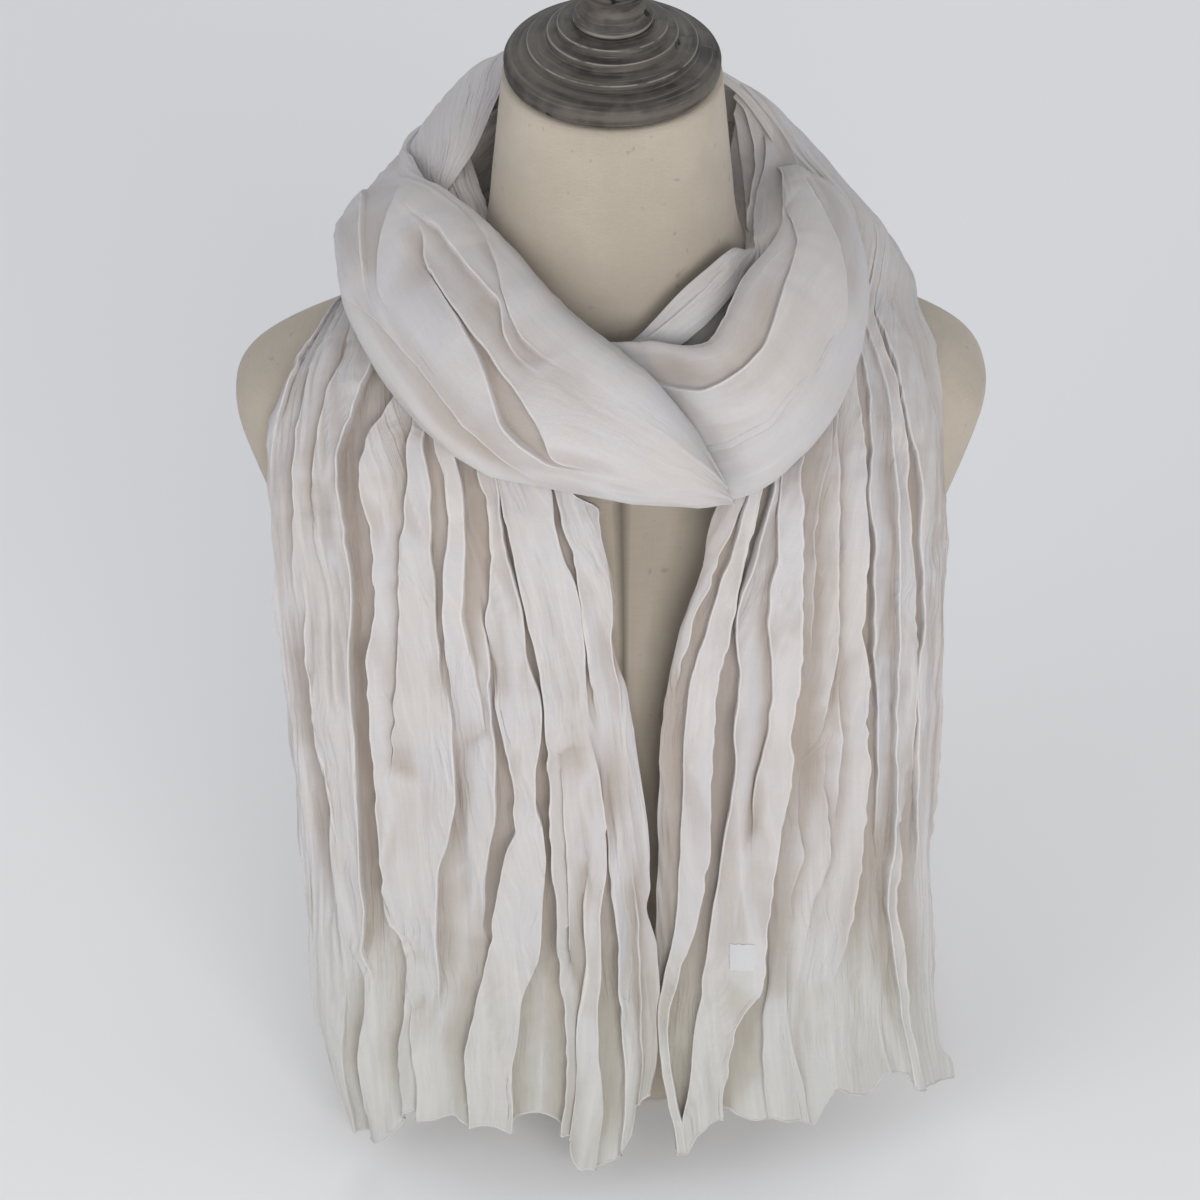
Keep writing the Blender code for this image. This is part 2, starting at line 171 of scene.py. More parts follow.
class MeshWriter:
    """Puts arrays of points and faces into a mesh object at the origin."""

    @staticmethod
    def write(
        name: str,
        points: Array,
        quads: Array,
        uv: Array | None = None,
        values: dict[str, Array] | None = None,
    ) -> Object:
        """Makes the object.

        Args:
            name: the piece's name.
            points: one row of x, y, z to a point.
            quads: four corner numbers to a face; a repeated last corner makes a triangle.
            uv: a place on the flat cloth for each point.
            values: named numbers, one to a point.

        Returns:
            The new object, smooth shaded.
        """
        triangle = quads[:, 2] == quads[:, 3]
        sizes = np.where(triangle, 3, 4)
        keep = np.ones(quads.shape, bool)
        keep[triangle, 3] = False
        corners = quads[keep]
        mesh = bpy.data.meshes.new(name)
        mesh.vertices.add(len(points))
        mesh.vertices.foreach_set("co", points.astype(np.float32).ravel())
        mesh.loops.add(len(corners))
        mesh.loops.foreach_set("vertex_index", corners.astype(np.int32))
        mesh.polygons.add(len(quads))
        starts = np.concatenate([[0], np.cumsum(sizes)[:-1]])
        mesh.polygons.foreach_set("loop_start", starts.astype(np.int32))
        mesh.update(calc_edges=True)
        if uv is not None:
            layer = mesh.uv_layers.new(name="flat_cloth")
            layer.data.foreach_set("uv", uv[corners].astype(np.float32).ravel())
        for label, numbers in (values or {}).items():
            attribute = mesh.attributes.new(label, "FLOAT", "POINT")
            attribute.data.foreach_set("value", numbers.astype(np.float32).ravel())
        mesh.polygons.foreach_set("use_smooth", np.ones(len(quads), bool))
        mesh.validate()
        mesh.update()
        made = bpy.data.objects.new(name, mesh)
        bpy.context.scene.collection.objects.link(made)
        return made

    @staticmethod
    def shell(
        name: str,
        middle: Array,
        normals: Array,
        wall: Array | float,
        uv: Array,
        values: dict[str, Array],
    ) -> Object:
        """A closed thin shell: the middle grid moved half a wall each way, joined round its rim.

        The first and last row keep the given normals, so that one part runs on into the next.

        Args:
            name: the piece's name.
            middle: grid of points.
            normals: unit normal at each point, on the outer side.
            wall: thickness, one number or one to a point.
            uv: a place on the flat cloth for each point of the grid.
            values: named numbers for the grid's points.

        Returns:
            The new object.
        """
        rows, columns = middle.shape[:2]
        half = 0.5 * np.broadcast_to(np.asarray(wall, float), (rows, columns))[..., None] * normals
        points = np.concatenate([(middle + half).reshape(-1, 3), (middle - half).reshape(-1, 3)])
        skin = rows * columns
        face = grid_quads(rows, columns)
        index = np.arange(skin).reshape(rows, columns)
        rim = np.concatenate([index[0], index[1:, -1], index[-1, -2::-1], index[-2:0:-1, 0]])
        after = np.roll(rim, -1)
        sides = np.stack([rim, after, after + skin, rim + skin], axis=1)
        outward = float((np.cross(middle[1, 0] - middle[0, 0], middle[0, 1] - middle[0, 0]) * normals[0, 0]).sum())
        if outward > 0:
            quads = np.concatenate([face[:, ::-1], face + skin, sides])
        else:
            quads = np.concatenate([face, face[:, ::-1] + skin, sides[:, ::-1]])
        both = {label: np.concatenate([numbers.ravel()] * 2) for label, numbers in values.items()}
        made = MeshWriter.write(name, points, quads, np.concatenate([uv.reshape(-1, 2)] * 2), both)
        vertex = np.empty(len(made.data.loops), np.int32)
        made.data.loops.foreach_get("vertex_index", vertex)
        ends = np.isin(vertex % skin // columns, (0, rows - 1)) & (np.arange(len(vertex)) < 2 * face.size)
        facing = np.concatenate([normals.reshape(-1, 3), -normals.reshape(-1, 3)])[vertex]
        made.data.normals_split_custom_set((facing * ends[:, None]).tolist())
        return made


# The view from the front


@dataclass(frozen=True)
class FrontView:
    """The viewing angle that the folds are placed from, and that the camera takes.

    A place in it is counted in the 1200 by 1200 frame's own units, from its top left corner.

    Attributes:
        azimuth: how far the view is turned round the form.
        pitch: how far it looks down.
        focal: focal length, in the frame's units.
        distance: from the eye to the target, in metres.
        target: the point that it looks at, in metres.
        frame: the frame's side, in its own units.
    """

    azimuth: float = math.radians(-3.0)
    pitch: float = math.radians(35.0)
    focal: float = 3800.0
    distance: float = 2.034
    target: tuple[float, float, float] = (-0.006, 0.0, 0.2843)
    frame: float = 1200.0

    def axes(self) -> tuple[Array, Array, Array]:
        """The view's own directions, from its two angles.

        Returns:
            Right, up and forward, as unit vectors.
        """
        level = math.cos(self.pitch)
        forward = np.array([-math.sin(self.azimuth) * level, math.cos(self.azimuth) * level, -math.sin(self.pitch)])
        right = np.array([math.cos(self.azimuth), math.sin(self.azimuth), 0.0])
        return right, np.cross(right, forward), forward

    def eye(self) -> Array:
        """Where the view is taken from."""
        return np.array(self.target) - self.axes()[2] * self.distance

    def project(self, points: Array) -> Array:
        """Places in the frame of points in space.

        Args:
            points: x, y, z on the last axis.

        Returns:
            Across and down on the last axis.
        """
        right, up, forward = self.axes()
        away = points - self.eye()
        depth = away @ forward
        middle = self.frame / 2
        return np.stack([middle + self.focal * (away @ right) / depth, middle - self.focal * (away @ up) / depth], -1)

    def add_camera(self) -> None:
        """Makes the scene's camera at this view."""
        right, up, forward = self.axes()
        data = bpy.data.cameras.new("front_camera")
        data.sensor_width = 36.0
        data.lens = self.focal * data.sensor_width / self.frame
        data.clip_start, data.clip_end = 0.05, 30.0
        camera = bpy.data.objects.new("front_camera", data)
        turn = np.eye(4)
        turn[:3, 0], turn[:3, 1], turn[:3, 2], turn[:3, 3] = right, up, -forward, self.eye()
        camera.matrix_world = Matrix([list(row) for row in turn])
        bpy.context.scene.collection.objects.link(camera)
        bpy.context.scene.camera = camera


# Folds and stretches of cloth


class Drop(Enum):
    """The side on which a fold's lip falls away steeply."""

    INNER = -1
    OUTER = 1
    BOTH = 0


@dataclass(frozen=True)
class SeenFold:
    """A fold placed by where its lip shows in the front view.

    Attributes:
        lip: places in the front view, across and down in turn, from the top on.
        height: how far the lip stands up, in millimetres.
        drop: the side on which it falls away.
    """

    lip: Line
    height: float
    drop: Drop


@dataclass(frozen=True)
class LaidFold:
    """A fold placed on the cloth itself, where the front view doesn't reach.

    Attributes:
        across: its share of the way across, at even steps along the stretch.
        height: how far the lip stands up, in millimetres.
        drop: the side on which it falls away.
        span: where it starts and ends, as shares of the length.
    """

    across: Line
    height: float
    drop: Drop
    span: tuple[float, float] = (-1.0, 2.0)


Fold = SeenFold | LaidFold


@dataclass
class FoldPlan:
    """A run's folds, in order across.

    Attributes:
        lines: the share across at which each is wanted, a row for each row of the grid.
        windows: how much of each fold stands there, from 0 to 1.
        heights: how high each stands, in metres.
        sides: the side on which each falls away.
        marks: places of each in the front view, or nothing.
    """

    lines: Array
    windows: Array
    heights: Array
    sides: Array
    marks: list[Array | None]


def along_line(corners: Line | Array, count: int) -> Array:
    """Evenly spaced places on a line with corners.

    Args:
        corners: the line's corners, across and down in turn.
        count: how many places.

    Returns:
        Two numbers to a place.
    """
    line = np.reshape(corners, (-1, 2)).astype(float)
    far = np.concatenate([[0], np.cumsum(np.linalg.norm(np.diff(line, axis=0), axis=1))])
    spots = np.linspace(0, far[-1], count)
    return np.stack([np.interp(spots, far, line[:, 0]), np.interp(spots, far, line[:, 1])], 1)


@dataclass(frozen=True)
class FoldForm:
    """How every fold of the scarf stands on the cloth. Sizes are in millimetres.

    Attributes:
        tilt: how far a lip hangs over its drop, to its height.
        tilt_room: the most of that, to the room there.
        foot: width of the steep side.
        foot_share: what a tall fold adds to it, to its height.
        foot_room: the most of that, to the room there.
        lee: the widest that the gentle side is.
        lee_power: how hollow that side is; 1 is straight.
        drawn: how far behind the lip the cloth leans with it.
        drawn_room: the most of that, to the room there.
        lip: half width of the lip's bead and of its painted highlight line.
        bead: how far the lip's very edge stands up.
        full: height from which a fold counts as full.
        shade: how far from a lip its painted hollow shade reaches.
        shade_hold: the painted hollow shade's strength at the lip, then cut off at 1.
        bulge_span: gap between lips that bulges by the whole belly.
        sag: share of the belly that sags in a hollow.
        arch: share of the belly that arches between two backs.
        curl_from: share of the length from which the hem curls.
    """

    tilt: float = 0.45
    tilt_room: float = 0.3
    foot: float = 1.2
    foot_share: float = 0.22
    foot_room: float = 0.42
    lee: float = 26.0
    lee_power: float = 1.35
    drawn: float = 9.0
    drawn_room: float = 0.6
    lip: float = 0.45
    bead: float = 0.08
    full: float = 3.0
    shade: float = 24.0
    shade_hold: float = 1.4
    bulge_span: float = 16.0
    sag: float = 0.35
    arch: float = 0.5
    curl_from: float = 0.9


@dataclass(frozen=True)
class Crinkle:
    """The small creases between the folds: ridged hills drawn out lengthways. Sizes are in millimetres.

    Attributes:
        heights: of each size of crease.
        widths: across the cloth.
        lengths: along the cloth.
        seed: picks the hills.
        sharpness: power that makes a crest thin.
        level: height that is taken off, so that the creases lie about the cloth's middle.
    """

    heights: Line = (3.2, 2.4, 1.1)
    widths: Line = (16.0, 7.5, 3.6)
    lengths: Line = (80.0, 40.0, 20.0)
    seed: int = 1
    sharpness: float = 2.4
    level: float = 0.4

    def relief(self, across: Array, along: Array) -> Array:
        """Height of the creases, in metres.

        Each size is one less the distance of a hill from its mean level, to a power, so its crest is
        a thin wandering line; the lines are bent by slower hills, so that they merge and part.

        Args:
            across: distance across the flat cloth, in metres.
            along: distance along it, in metres.

        Returns:
            The height at each place.
        """
        bend_by, bend_width, bend_length = 6 * MM, 30 * MM, 45 * MM
        patch_width, patch_length = 26 * MM, 50 * MM
        bend = bend_by * drift(across / bend_width, along / bend_length, self.seed + 90)
        total = np.zeros_like(across)
        for step, (height, width, length) in enumerate(zip(self.heights, self.widths, self.lengths)):
            hills = drift((across + bend) / (width * MM), along / (length * MM), self.seed + step)
            strength = 0.5 + 0.5 * drift(across / patch_width, along / patch_length, self.seed + 40 + step)
            total += height * MM * strength * ((1 - np.abs(hills)) ** self.sharpness - self.level)
        return total


@dataclass(frozen=True)
class Part:
    """The share of a run of cloth that stands for one solid.

    Attributes:
        name: the solid that it replaces.
        rows: points along.
        end: share of the run's length at which it ends; it starts where the one before ended.
        flat: width and length that it was cut to, in metres.
        held: how the cloth is held; not used.
        rests_on: the names of what it lies on; not used.
    """

    name: str
    rows: int
    end: float
    flat: tuple[float, float]
    held: str = "draped"
    rests_on: tuple[str, ...] = ("form_body",)


@dataclass
class Run:
    """One run of the scarf: a wall of cloth between two edges, cut into the parts that show.

    Sizes are in millimetres.

    Attributes:
        sections: inner edge x, y, z, outer edge x, y, z, crown, at even steps along.
        arcs: how far the section arches each side of its crown, in degrees, at even steps along.
        gather: share of their full height that the folds have, at even steps along.
        folds: the long folds.
        parts: the solids that the run stands for, in order.
        columns: points across.
        crinkle: the small creases.
        hem: places of the hem in the front view, from left to right, across and down in turn, or
            nothing where the run ends under another.
        tucked: share of the length before which a fold that shows runs on to the start.
        free: share of the length from which the columns may be of different lengths.
        wall: thickness of the shell.
        start: share of the length at which it begins.
        waver: how far the lips wander to either side.
        fade: share of the length over which a fold dies away.
        belly: how far the cloth between two lips bulges.
        fine: how strong the finest creases are, from 0 to 1.
        frill: how far the hem curls in and out.
        edges: places of the inner and the outer edge in the front view, in the same way.
        pressed: place in the front view round which the small creases are pressed flat, for a label.
        form: how the folds stand.
        middle: the finished middle grid, once the run is shaped.
        normals: its unit normals.
    """

    sections: Table
    arcs: Line
    gather: Line
    folds: tuple[Fold, ...]
    parts: tuple[Part, ...]
    columns: int
    crinkle: Crinkle
    hem: Line = ()
    tucked: float = -1.0
    free: float = 0.2
    wall: float = 0.6
    start: float = 0.0
    waver: float = 1.2
    fade: float = 0.085
    belly: float = 1.4
    fine: float = 0.45
    frill: float = 4.0
    edges: tuple[Line, Line] | None = None
    pressed: tuple[float, float] | None = None
    form: FoldForm = FoldForm()
    middle: Array = field(init=False, repr=False)
    normals: Array = field(init=False, repr=False)

    def base(self, along: Array, across: Array) -> Array:
        """The plain arched sheet, without folds.

        The two edges are read from the sections. Between them a point lies at half the chord times
        the sine of its angle, and stands out from the chord by the crown times the cosine's share.

        Args:
            along: share of the length, in any shape.
            across: share of the way from the inner edge to the outer, in the same shape.

        Returns:
            x, y, z on one more axis.
        """
        rows = smooth_rows(self.sections, along)
        inner, outer = rows[..., :3] * MM, rows[..., 3:6] * MM
        crown = rows[..., 6] * MM
        step = 1e-3
        ahead = smooth_rows(self.sections, along + step) - smooth_rows(self.sections, along - step)
        tangent = unit(ahead[..., :3] + ahead[..., 3:6])
        chord = outer - inner
        side = unit(chord)
        outward = unit(np.cross(side, tangent))
        away = (inner + outer) / 2 * (1, 1, 0)
        outward = outward * math.copysign(1.0, float((away * outward).sum()))
        arc = np.radians(smooth_rows(np.asarray(self.arcs)[:, None], along)[..., 0])
        reach = np.minimum(arc, math.pi / 2)
        angle = (across - 0.5) * 2 * arc
        lateral = 0.5 * np.linalg.norm(chord, axis=-1) * np.sin(angle) / np.sin(reach)
        rise = crown * (np.cos(angle) - np.cos(reach)) / (1 - np.cos(reach))
        return (inner + outer) / 2 + lateral[..., None] * side + rise[..., None] * outward

    def outward(self, points: Array) -> Array:
        """Normals of a grid on this run, turned away from the form's axis.

        Args:
            points: the grid.

        Returns:
            A unit normal to a point.
        """
        normals = grid_normals(points)
        away = points * (1, 1, 0)
        return normals * math.copysign(1.0, float((away * normals).sum()))

    def lengths(self) -> tuple[float, float]:
        """Measures the plain sheet on a grid.

        Returns:
            Its mean width and its mean length, in metres.
        """
        along, across = np.meshgrid(np.linspace(0, 1, 60), np.linspace(0, 1, 60), indexing="ij")
        points = self.base(along, across)
        width = np.linalg.norm(np.diff(points, axis=1), axis=-1).sum(1).mean()
        return float(width), float(np.linalg.norm(np.diff(points, axis=0), axis=-1).sum(0).mean())

    def stations(self) -> Array:
        """Spaces the rows, with a row on every boundary between parts.

        Returns:
            The share of the length at each row.
        """
        ends = [part.end for part in self.parts]
        starts = [self.start] + ends[:-1]
        steps = [np.linspace(low, high, part.rows)[1:] for part, low, high in zip(self.parts, starts, ends)]
        return np.concatenate([[self.start], *steps])

    def directions(self, along: Array, across: Array) -> tuple[Array, Array]:
        """The plain sheet's outward normals, and its directions towards the outer edge.

        Args:
            along: share of the length, in any shape.
            across: share of the way across, in the same shape.

        Returns:
            Both, as unit vectors.
        """
        step = 1e-3
        down = self.base(along + step, across) - self.base(along - step, across)
        over = self.base(along, across + step) - self.base(along, across - step)
        normals = unit(np.cross(down, over))
        away = self.base(along, across) * (1, 1, 0)
        return normals * math.copysign(1.0, float((away * normals).sum())), unit(over)

    def aims(self, along: Array, view: FrontView) -> FoldPlan:
        """Where the folds are wanted, and how high they stand.

        A seen fold's places are matched with the nearest point of the plain sheet that faces the
        view.

        Args:
            along: share of the length at each row.
            view: the front view.

        Returns:
            The plan, in order across.
        """
        beyond_start, beyond_end, near_end = -1.0, 2.0, 0.91
        u, v = np.meshgrid(np.linspace(0, 1, 200), np.linspace(0, 1, 240), indexing="ij")
        points = self.base(u, v)
        places = view.project(points)
        facing = (self.outward(points) * (view.eye() - points)).sum(-1) > 0
        u, v, places = u[facing], v[facing], places[facing]
        lines, windows, marks = [], [], []
        for fold in self.folds:
            if isinstance(fold, SeenFold):
                seen = along_line(fold.lip, 60)
                nearest = ((places[None] - seen[::2, None]) ** 2).sum(-1).argmin(1)
                found_u, found_v = u[nearest], v[nearest]
                order = np.argsort(found_u)
                found_u, found_v = found_u[order], found_v[order]
                line = np.interp(along, found_u, found_v)
                low = beyond_start if found_u[0] < self.tucked else found_u[0]
                high = beyond_end if found_u[-1] > near_end else found_u[-1]
                marks.append(seen)
            else:
                line = smooth_rows(np.asarray(fold.across)[:, None], along)[:, 0]
                low, high = fold.span
                marks.append(None)
            begun, ended = (ease((along - end) / self.fade + 0.5) for end in (low, high))
            windows.append(begun * (1 - ended))
            lines.append(blend_rows(line, 2))
        lines, windows = np.array(lines), np.array(windows)
        count = len(self.folds)
        ahead = np.zeros((count, count))
        for first in range(count):
            shared = np.minimum(windows[first], windows)
            apart = (shared * (lines - lines[first])).sum(1) / np.maximum(shared.sum(1), 1e-9)
            means = (windows * lines).sum(1) / windows.sum(1)
            ahead[first] = np.where(shared.sum(1) > 0.5, apart, means - means[first])
        order = np.argsort((ahead < 0).sum(1) + 1e-3 * lines.mean(1))
        heights = np.array([fold.height for fold in self.folds])[:, None] * MM * windows
        sides = np.array([fold.drop.value for fold in self.folds])[order]
        return FoldPlan(lines[order].T, windows[order].T, heights[order].T, sides, [marks[n] for n in order])

    def settle(self, wanted: Array, windows: Array, edges: Array, widths: Array) -> Array:
        """Places the lines: where a fold stands it is where it's wanted, and elsewhere it yields.

        In each row the places balance the pull to where they're wanted and equal gaps to both
        neighbours. Pairs that lie too close are then pushed apart again and again, the fold that
        stands less yielding more, and the lines are smoothed along.

        Args:
            wanted: shares across, a row for each row of the grid.
            windows: how much of each fold stands there, from 0 to 1.
            edges: the inner and outer edge's shares, in the same rows.
            widths: the sheet's width at each row, in metres.

        Returns:
            Shares across, with the two edges as first and last column.
        """
        rows, count = wanted.shape
        even, hold, closest, rounds = 0.004, 0.05, 1.5 * MM, 160
        held = hold + (1 - hold) * windows
        pull = np.zeros((rows, count, count))
        pull[:] = even * (2 * np.eye(count) - np.eye(count, k=1) - np.eye(count, k=-1))
        pull += held[:, :, None] * np.eye(count)
        ask = held * wanted
        ask[:, 0] += even * edges[:, 0]
        ask[:, -1] += even * edges[:, 1]
        lines = np.linalg.solve(pull, ask[..., None])[..., 0]
        room = edges[:, 1] - edges[:, 0]
        apart = np.minimum(closest / widths, 0.5 * room / (count + 1))
        firm = 0.01 + windows**2
        yields = firm[:, 1:] / (firm[:, 1:] + firm[:, :-1])
        for turn in range(rounds):
            pairs, others = slice(turn % 2, count - 1, 2), slice(turn % 2 + 1, count, 2)
            short = np.maximum(lines[:, pairs] + apart[:, None] - lines[:, others], 0)
            lines[:, pairs] -= short * yields[:, pairs]
            lines[:, others] += short * (1 - yields[:, pairs])
        for step in range(count):
            floor = (lines[:, step - 1] if step else edges[:, 0]) + apart
            lines[:, step] = np.maximum(lines[:, step], floor)
        for step in range(count - 1, -1, -1):
            ceiling = (lines[:, step + 1] if step < count - 1 else edges[:, 1]) - apart
            lines[:, step] = np.minimum(lines[:, step], ceiling)
        return np.concatenate([edges[:, :1], blend_rows(lines, 1), edges[:, 1:]], axis=1)

    def rooms(self, lines: Array, heights: Array, widths: Array) -> tuple[Array, Array]:
        """How far each fold's flanks may reach: to the next fold that stands, or to the edge.

        Args:
            lines: shares across of the edges and folds, a row for each row of the grid.
            heights: the folds' heights, in metres.
            widths: the sheet's width at each row, in metres.

        Returns:
            The room on the inner side and on the outer side, in metres.
        """
        gaps = np.diff(lines, axis=1) * widths[:, None]
        stands_from = 1.5 * MM
        lying = 1 - np.clip(heights / stands_from, 0, 1)
        inner, outer = gaps[:, :-1].copy(), gaps[:, 1:].copy()
        for number in range(1, heights.shape[1]):
            inner[:, number] += lying[:, number - 1] * inner[:, number - 1]
            outer[:, -1 - number] += lying[:, -number] * outer[:, -number]
        return inner, outer

    def overhang(self, lines: Array, heights: Array, sides: Array, widths: Array) -> Array:
        """How far each lip is pushed over its drop: a share of its height, or of the room if that is less.

        Args:
            lines: shares across of the edges and folds, a row for each row of the grid.
            heights: the folds' heights, in metres.
            sides: the side on which each falls away.
            widths: the sheet's width at each row, in metres.

        Returns:
            The push towards the outer edge, in metres.
        """
        inner, outer = self.rooms(lines, heights, widths)
        room = self.form.tilt_room * np.where(sides[None] > 0, outer, inner)
        return np.minimum(self.form.tilt * heights, room) * sides

    def fold_lines(self, along: Array, view: FrontView) -> tuple[Array, Array, Array]:
        """Where the folds run once their height and overhang are allowed for.

        The lips are projected into the front view and each line is moved by what is missing, three
        times over; beyond a fold's ends the last move is kept. The lips then get their small waves.

        Args:
            along: share of the length at each row.
            view: the front view.

        Returns:
            Shares across with both edges, heights in metres, and sides of drop.
        """
        plan = self.aims(along, view)
        grown = smooth_rows(np.asarray(self.gather)[:, None], along)
        heights = plan.heights * grown
        station = along[:, None]
        edges = np.zeros((len(along), 2)) + (0.0, 1.0)
        across = np.linspace(0, 1, 40)[None]
        plain = self.base(station + 0 * across, across + 0 * station)
        widths = np.linalg.norm(np.diff(plain, axis=1), axis=-1).sum(1)
        wanted = plan.lines.copy()
        nudge, most, least_pace = 0.01, 0.06, 1e3
        for _ in range(3):
            lines = self.settle(wanted, plan.windows, edges, widths)
            tall = np.concatenate([0 * edges[:, :1], heights, 0 * edges[:, :1]], axis=1)
            pushed = self.overhang(lines, heights, plan.sides, widths)
            pushed = np.concatenate([0 * edges[:, :1], pushed, 0 * edges[:, :1]], axis=1)
            full = self.drawn(station + 0 * lines, self.hem_reach(lines[-1], view))
            normals, toward = self.directions(full, lines)
            lips = view.project(self.base(full, lines) + tall[..., None] * normals + pushed[..., None] * toward)
            pace = (view.project(self.base(full, lines + nudge)) - view.project(self.base(full, lines))) / nudge
            seen = [self.edges[0] if self.edges else None, *plan.marks, self.edges[1] if self.edges else None]
            for number, marks in enumerate(seen):
                if marks is None:
                    continue
                marks = along_line(marks, 120)
                apart = ((lips[:, number, None] - marks[None]) ** 2).sum(-1)
                nearest = apart.argmin(1)
                inside = (nearest > 0) & (nearest < len(marks) - 1)
                missing = marks[nearest] - lips[:, number]
                step = (missing * pace[:, number]).sum(-1) / ((pace[:, number] ** 2).sum(-1) + least_pace)
                step = np.clip(step, -most, most) * inside
                found = np.flatnonzero(inside)
                if len(found):
                    rows = np.arange(len(step))
                    an_edge = number in (0, len(seen) - 1)
                    step = np.interp(rows, rows[found], step[found], left=0.0 if an_edge else None)
                step = blend_rows(step, 2)
                if number == 0:
                    edges[:, 0] += step
                elif number == len(seen) - 1:
                    edges[:, 1] += step
                else:
                    wanted[:, number - 1] += step
        lines = self.settle(wanted, plan.windows, edges, widths)[:, 1:-1]
        number = np.arange(lines.shape[1])[None] + 0 * lines
        run = station * self.lengths()[1] + 0 * lines
        wander = drift(run / (24 * MM) + 7 * number, number * 3.7, 300 + self.crinkle.seed)
        flutter = drift(run / (9 * MM) + 5 * number, number * 2.3, 400 + self.crinkle.seed)
        quiver = drift(run / (5.5 * MM) + 11 * number, number * 1.9, 420 + self.crinkle.seed)
        lines = lines + self.waver * MM / widths[:, None] * (wander + 0.55 * flutter + 0.42 * quiver)
        sway = drift(run[:, :2] / (20 * MM) + (3, 17), run[:, :2] / (300 * MM), 450 + self.crinkle.seed)
        edges = edges + self.waver * MM / widths[:, None] * sway
        lines = self.settle(lines, np.ones_like(lines), edges, widths)
        swell = drift(run / (34 * MM) + 3 * number, number * 4.1, 500 + self.crinkle.seed)
        return lines, heights * (1 + 0.35 * swell + 0.12 * quiver), plan.sides

    def hem_reach(self, across: Array, view: FrontView) -> Array:
        """How much of the length each column has, so that its end meets the hem's place in the view.

        The hem's places are joined by round waves.

        Args:
            across: each column's share across at the end of the run.
            view: the front view.

        Returns:
            The share of the length at which each column ends.
        """
        if not self.hem:
            return np.ones_like(across)
        u, v = np.meshgrid(np.linspace(0.8, 1, 200), across, indexing="ij")
        places = view.project(self.base(u, v))
        hem = np.reshape(self.hem, (-1, 2)).astype(float)
        turn = np.interp(places[..., 0], hem[:, 0], np.arange(len(hem)))
        low = np.minimum(turn.astype(int), len(hem) - 2)
        level = hem[low, 1] + (hem[low + 1, 1] - hem[low, 1]) * ease(turn - low)
        below = places[..., 1] - level
        return np.array([np.interp(0.0, below[:, column], u[:, column]) for column in range(len(across))])

    def drawn(self, station: Array, reach: Array) -> Array:
        """Share of the length of each point, once the columns are drawn in or out to the hem."""
        late = ease((station - self.free) / (1 - self.free))
        return station * (1 + (reach - 1)[None] * late)

    def spread_columns(self, lines: Array) -> tuple[Array, Array]:
        """Shares the columns out between the fold lines, closer near the lips.

        Args:
            lines: shares across of the edges and folds, a row for each row of the grid.

        Returns:
            For each column, the number of the line on its inner side, and its share of the way on.
        """
        evenness, fewest, crowding = 0.7, 5, 0.125
        share = np.diff(lines.mean(0)) ** evenness
        count = np.maximum(fewest, np.floor(share / share.sum() * (self.columns - 1))).astype(int)
        while count.sum() > self.columns - 1:
            count[count.argmax()] -= 1
        count[count.argmax()] += self.columns - 1 - count.sum()
        gap = np.repeat(np.arange(len(count)), count)
        part = np.concatenate([np.arange(n) / n for n in count])
        gap, part = np.append(gap, len(count) - 1), np.append(part, 1.0)
        return gap, part - crowding * np.sin(2 * math.pi * part)

    def shape(self, view: FrontView) -> tuple[Array, dict[str, Array]]:
        """Lays the cloth: works out its middle grid and normals.

        Columns follow the fold lines. Towards a lip the cloth rises gently on its lee side, over the
        whole way from the next fold, and steeply on its drop side; the lip is also pushed over the
        drop, so that it hangs over the hollow. Between lips the cloth bulges, and in a hollow it
        sags. The small creases and the frill at the hem are added.

        Args:
            view: the front view.

        Returns:
            The places on the flat cloth, and the named numbers for the finish, among them the marks for the painted lip
            highlight and the painted hollow shade.
        """
        form = self.form
        length = self.lengths()[1]
        along = self.stations()
        station = along[:, None]
        lines, heights, sides = self.fold_lines(along, view)
        gap, part = self.spread_columns(lines)
        left, right = lines[:, gap], lines[:, gap + 1]
        across = left + part * (right - left)
        u = self.drawn(station, blend_rows(self.hem_reach(across[-1], view), 2))
        bare = self.base(u, across)
        normals, toward = self.directions(u, across)
        widths = np.linalg.norm(np.diff(bare, axis=1), axis=-1).sum(1)
        pushed = self.overhang(lines, heights, sides, widths)
        inner, outer = self.rooms(lines, heights, widths)
        relief, push = np.zeros_like(across), np.zeros_like(across)
        lipped, deep = np.zeros_like(across), np.zeros_like(across)
        for number, side in enumerate(sides):
            tall, over = heights[:, number : number + 1], pushed[:, number : number + 1]
            offset = (across - lines[:, number + 1 : number + 2]) * widths[:, None]
            away = np.abs(offset)
            outside = offset > 0
            room = np.where(outside, outer[:, number : number + 1], inner[:, number : number + 1])
            falls = outside == (side > 0) if side else np.ones_like(outside)
            steep = 1 - ease(away / np.minimum(form.foot * MM + form.foot_share * tall, form.foot_room * room))
            slope = (1 - np.clip(away / np.minimum(room, form.lee * MM), 0, 1)) ** form.lee_power
            lean = 1 - ease(away / np.minimum(form.drawn_room * room, form.drawn * MM))
            relief += tall * np.where(falls, steep, slope)
            push += over * np.where(falls, steep, lean)
            # The lip's bead, and the mark of its painted highlight line.
            near = np.exp(-((away / (form.lip * MM)) ** 2)) * np.clip(tall / (form.full * MM), 0, 1)
            relief += form.bead * MM * near
            lipped = np.maximum(lipped, near)
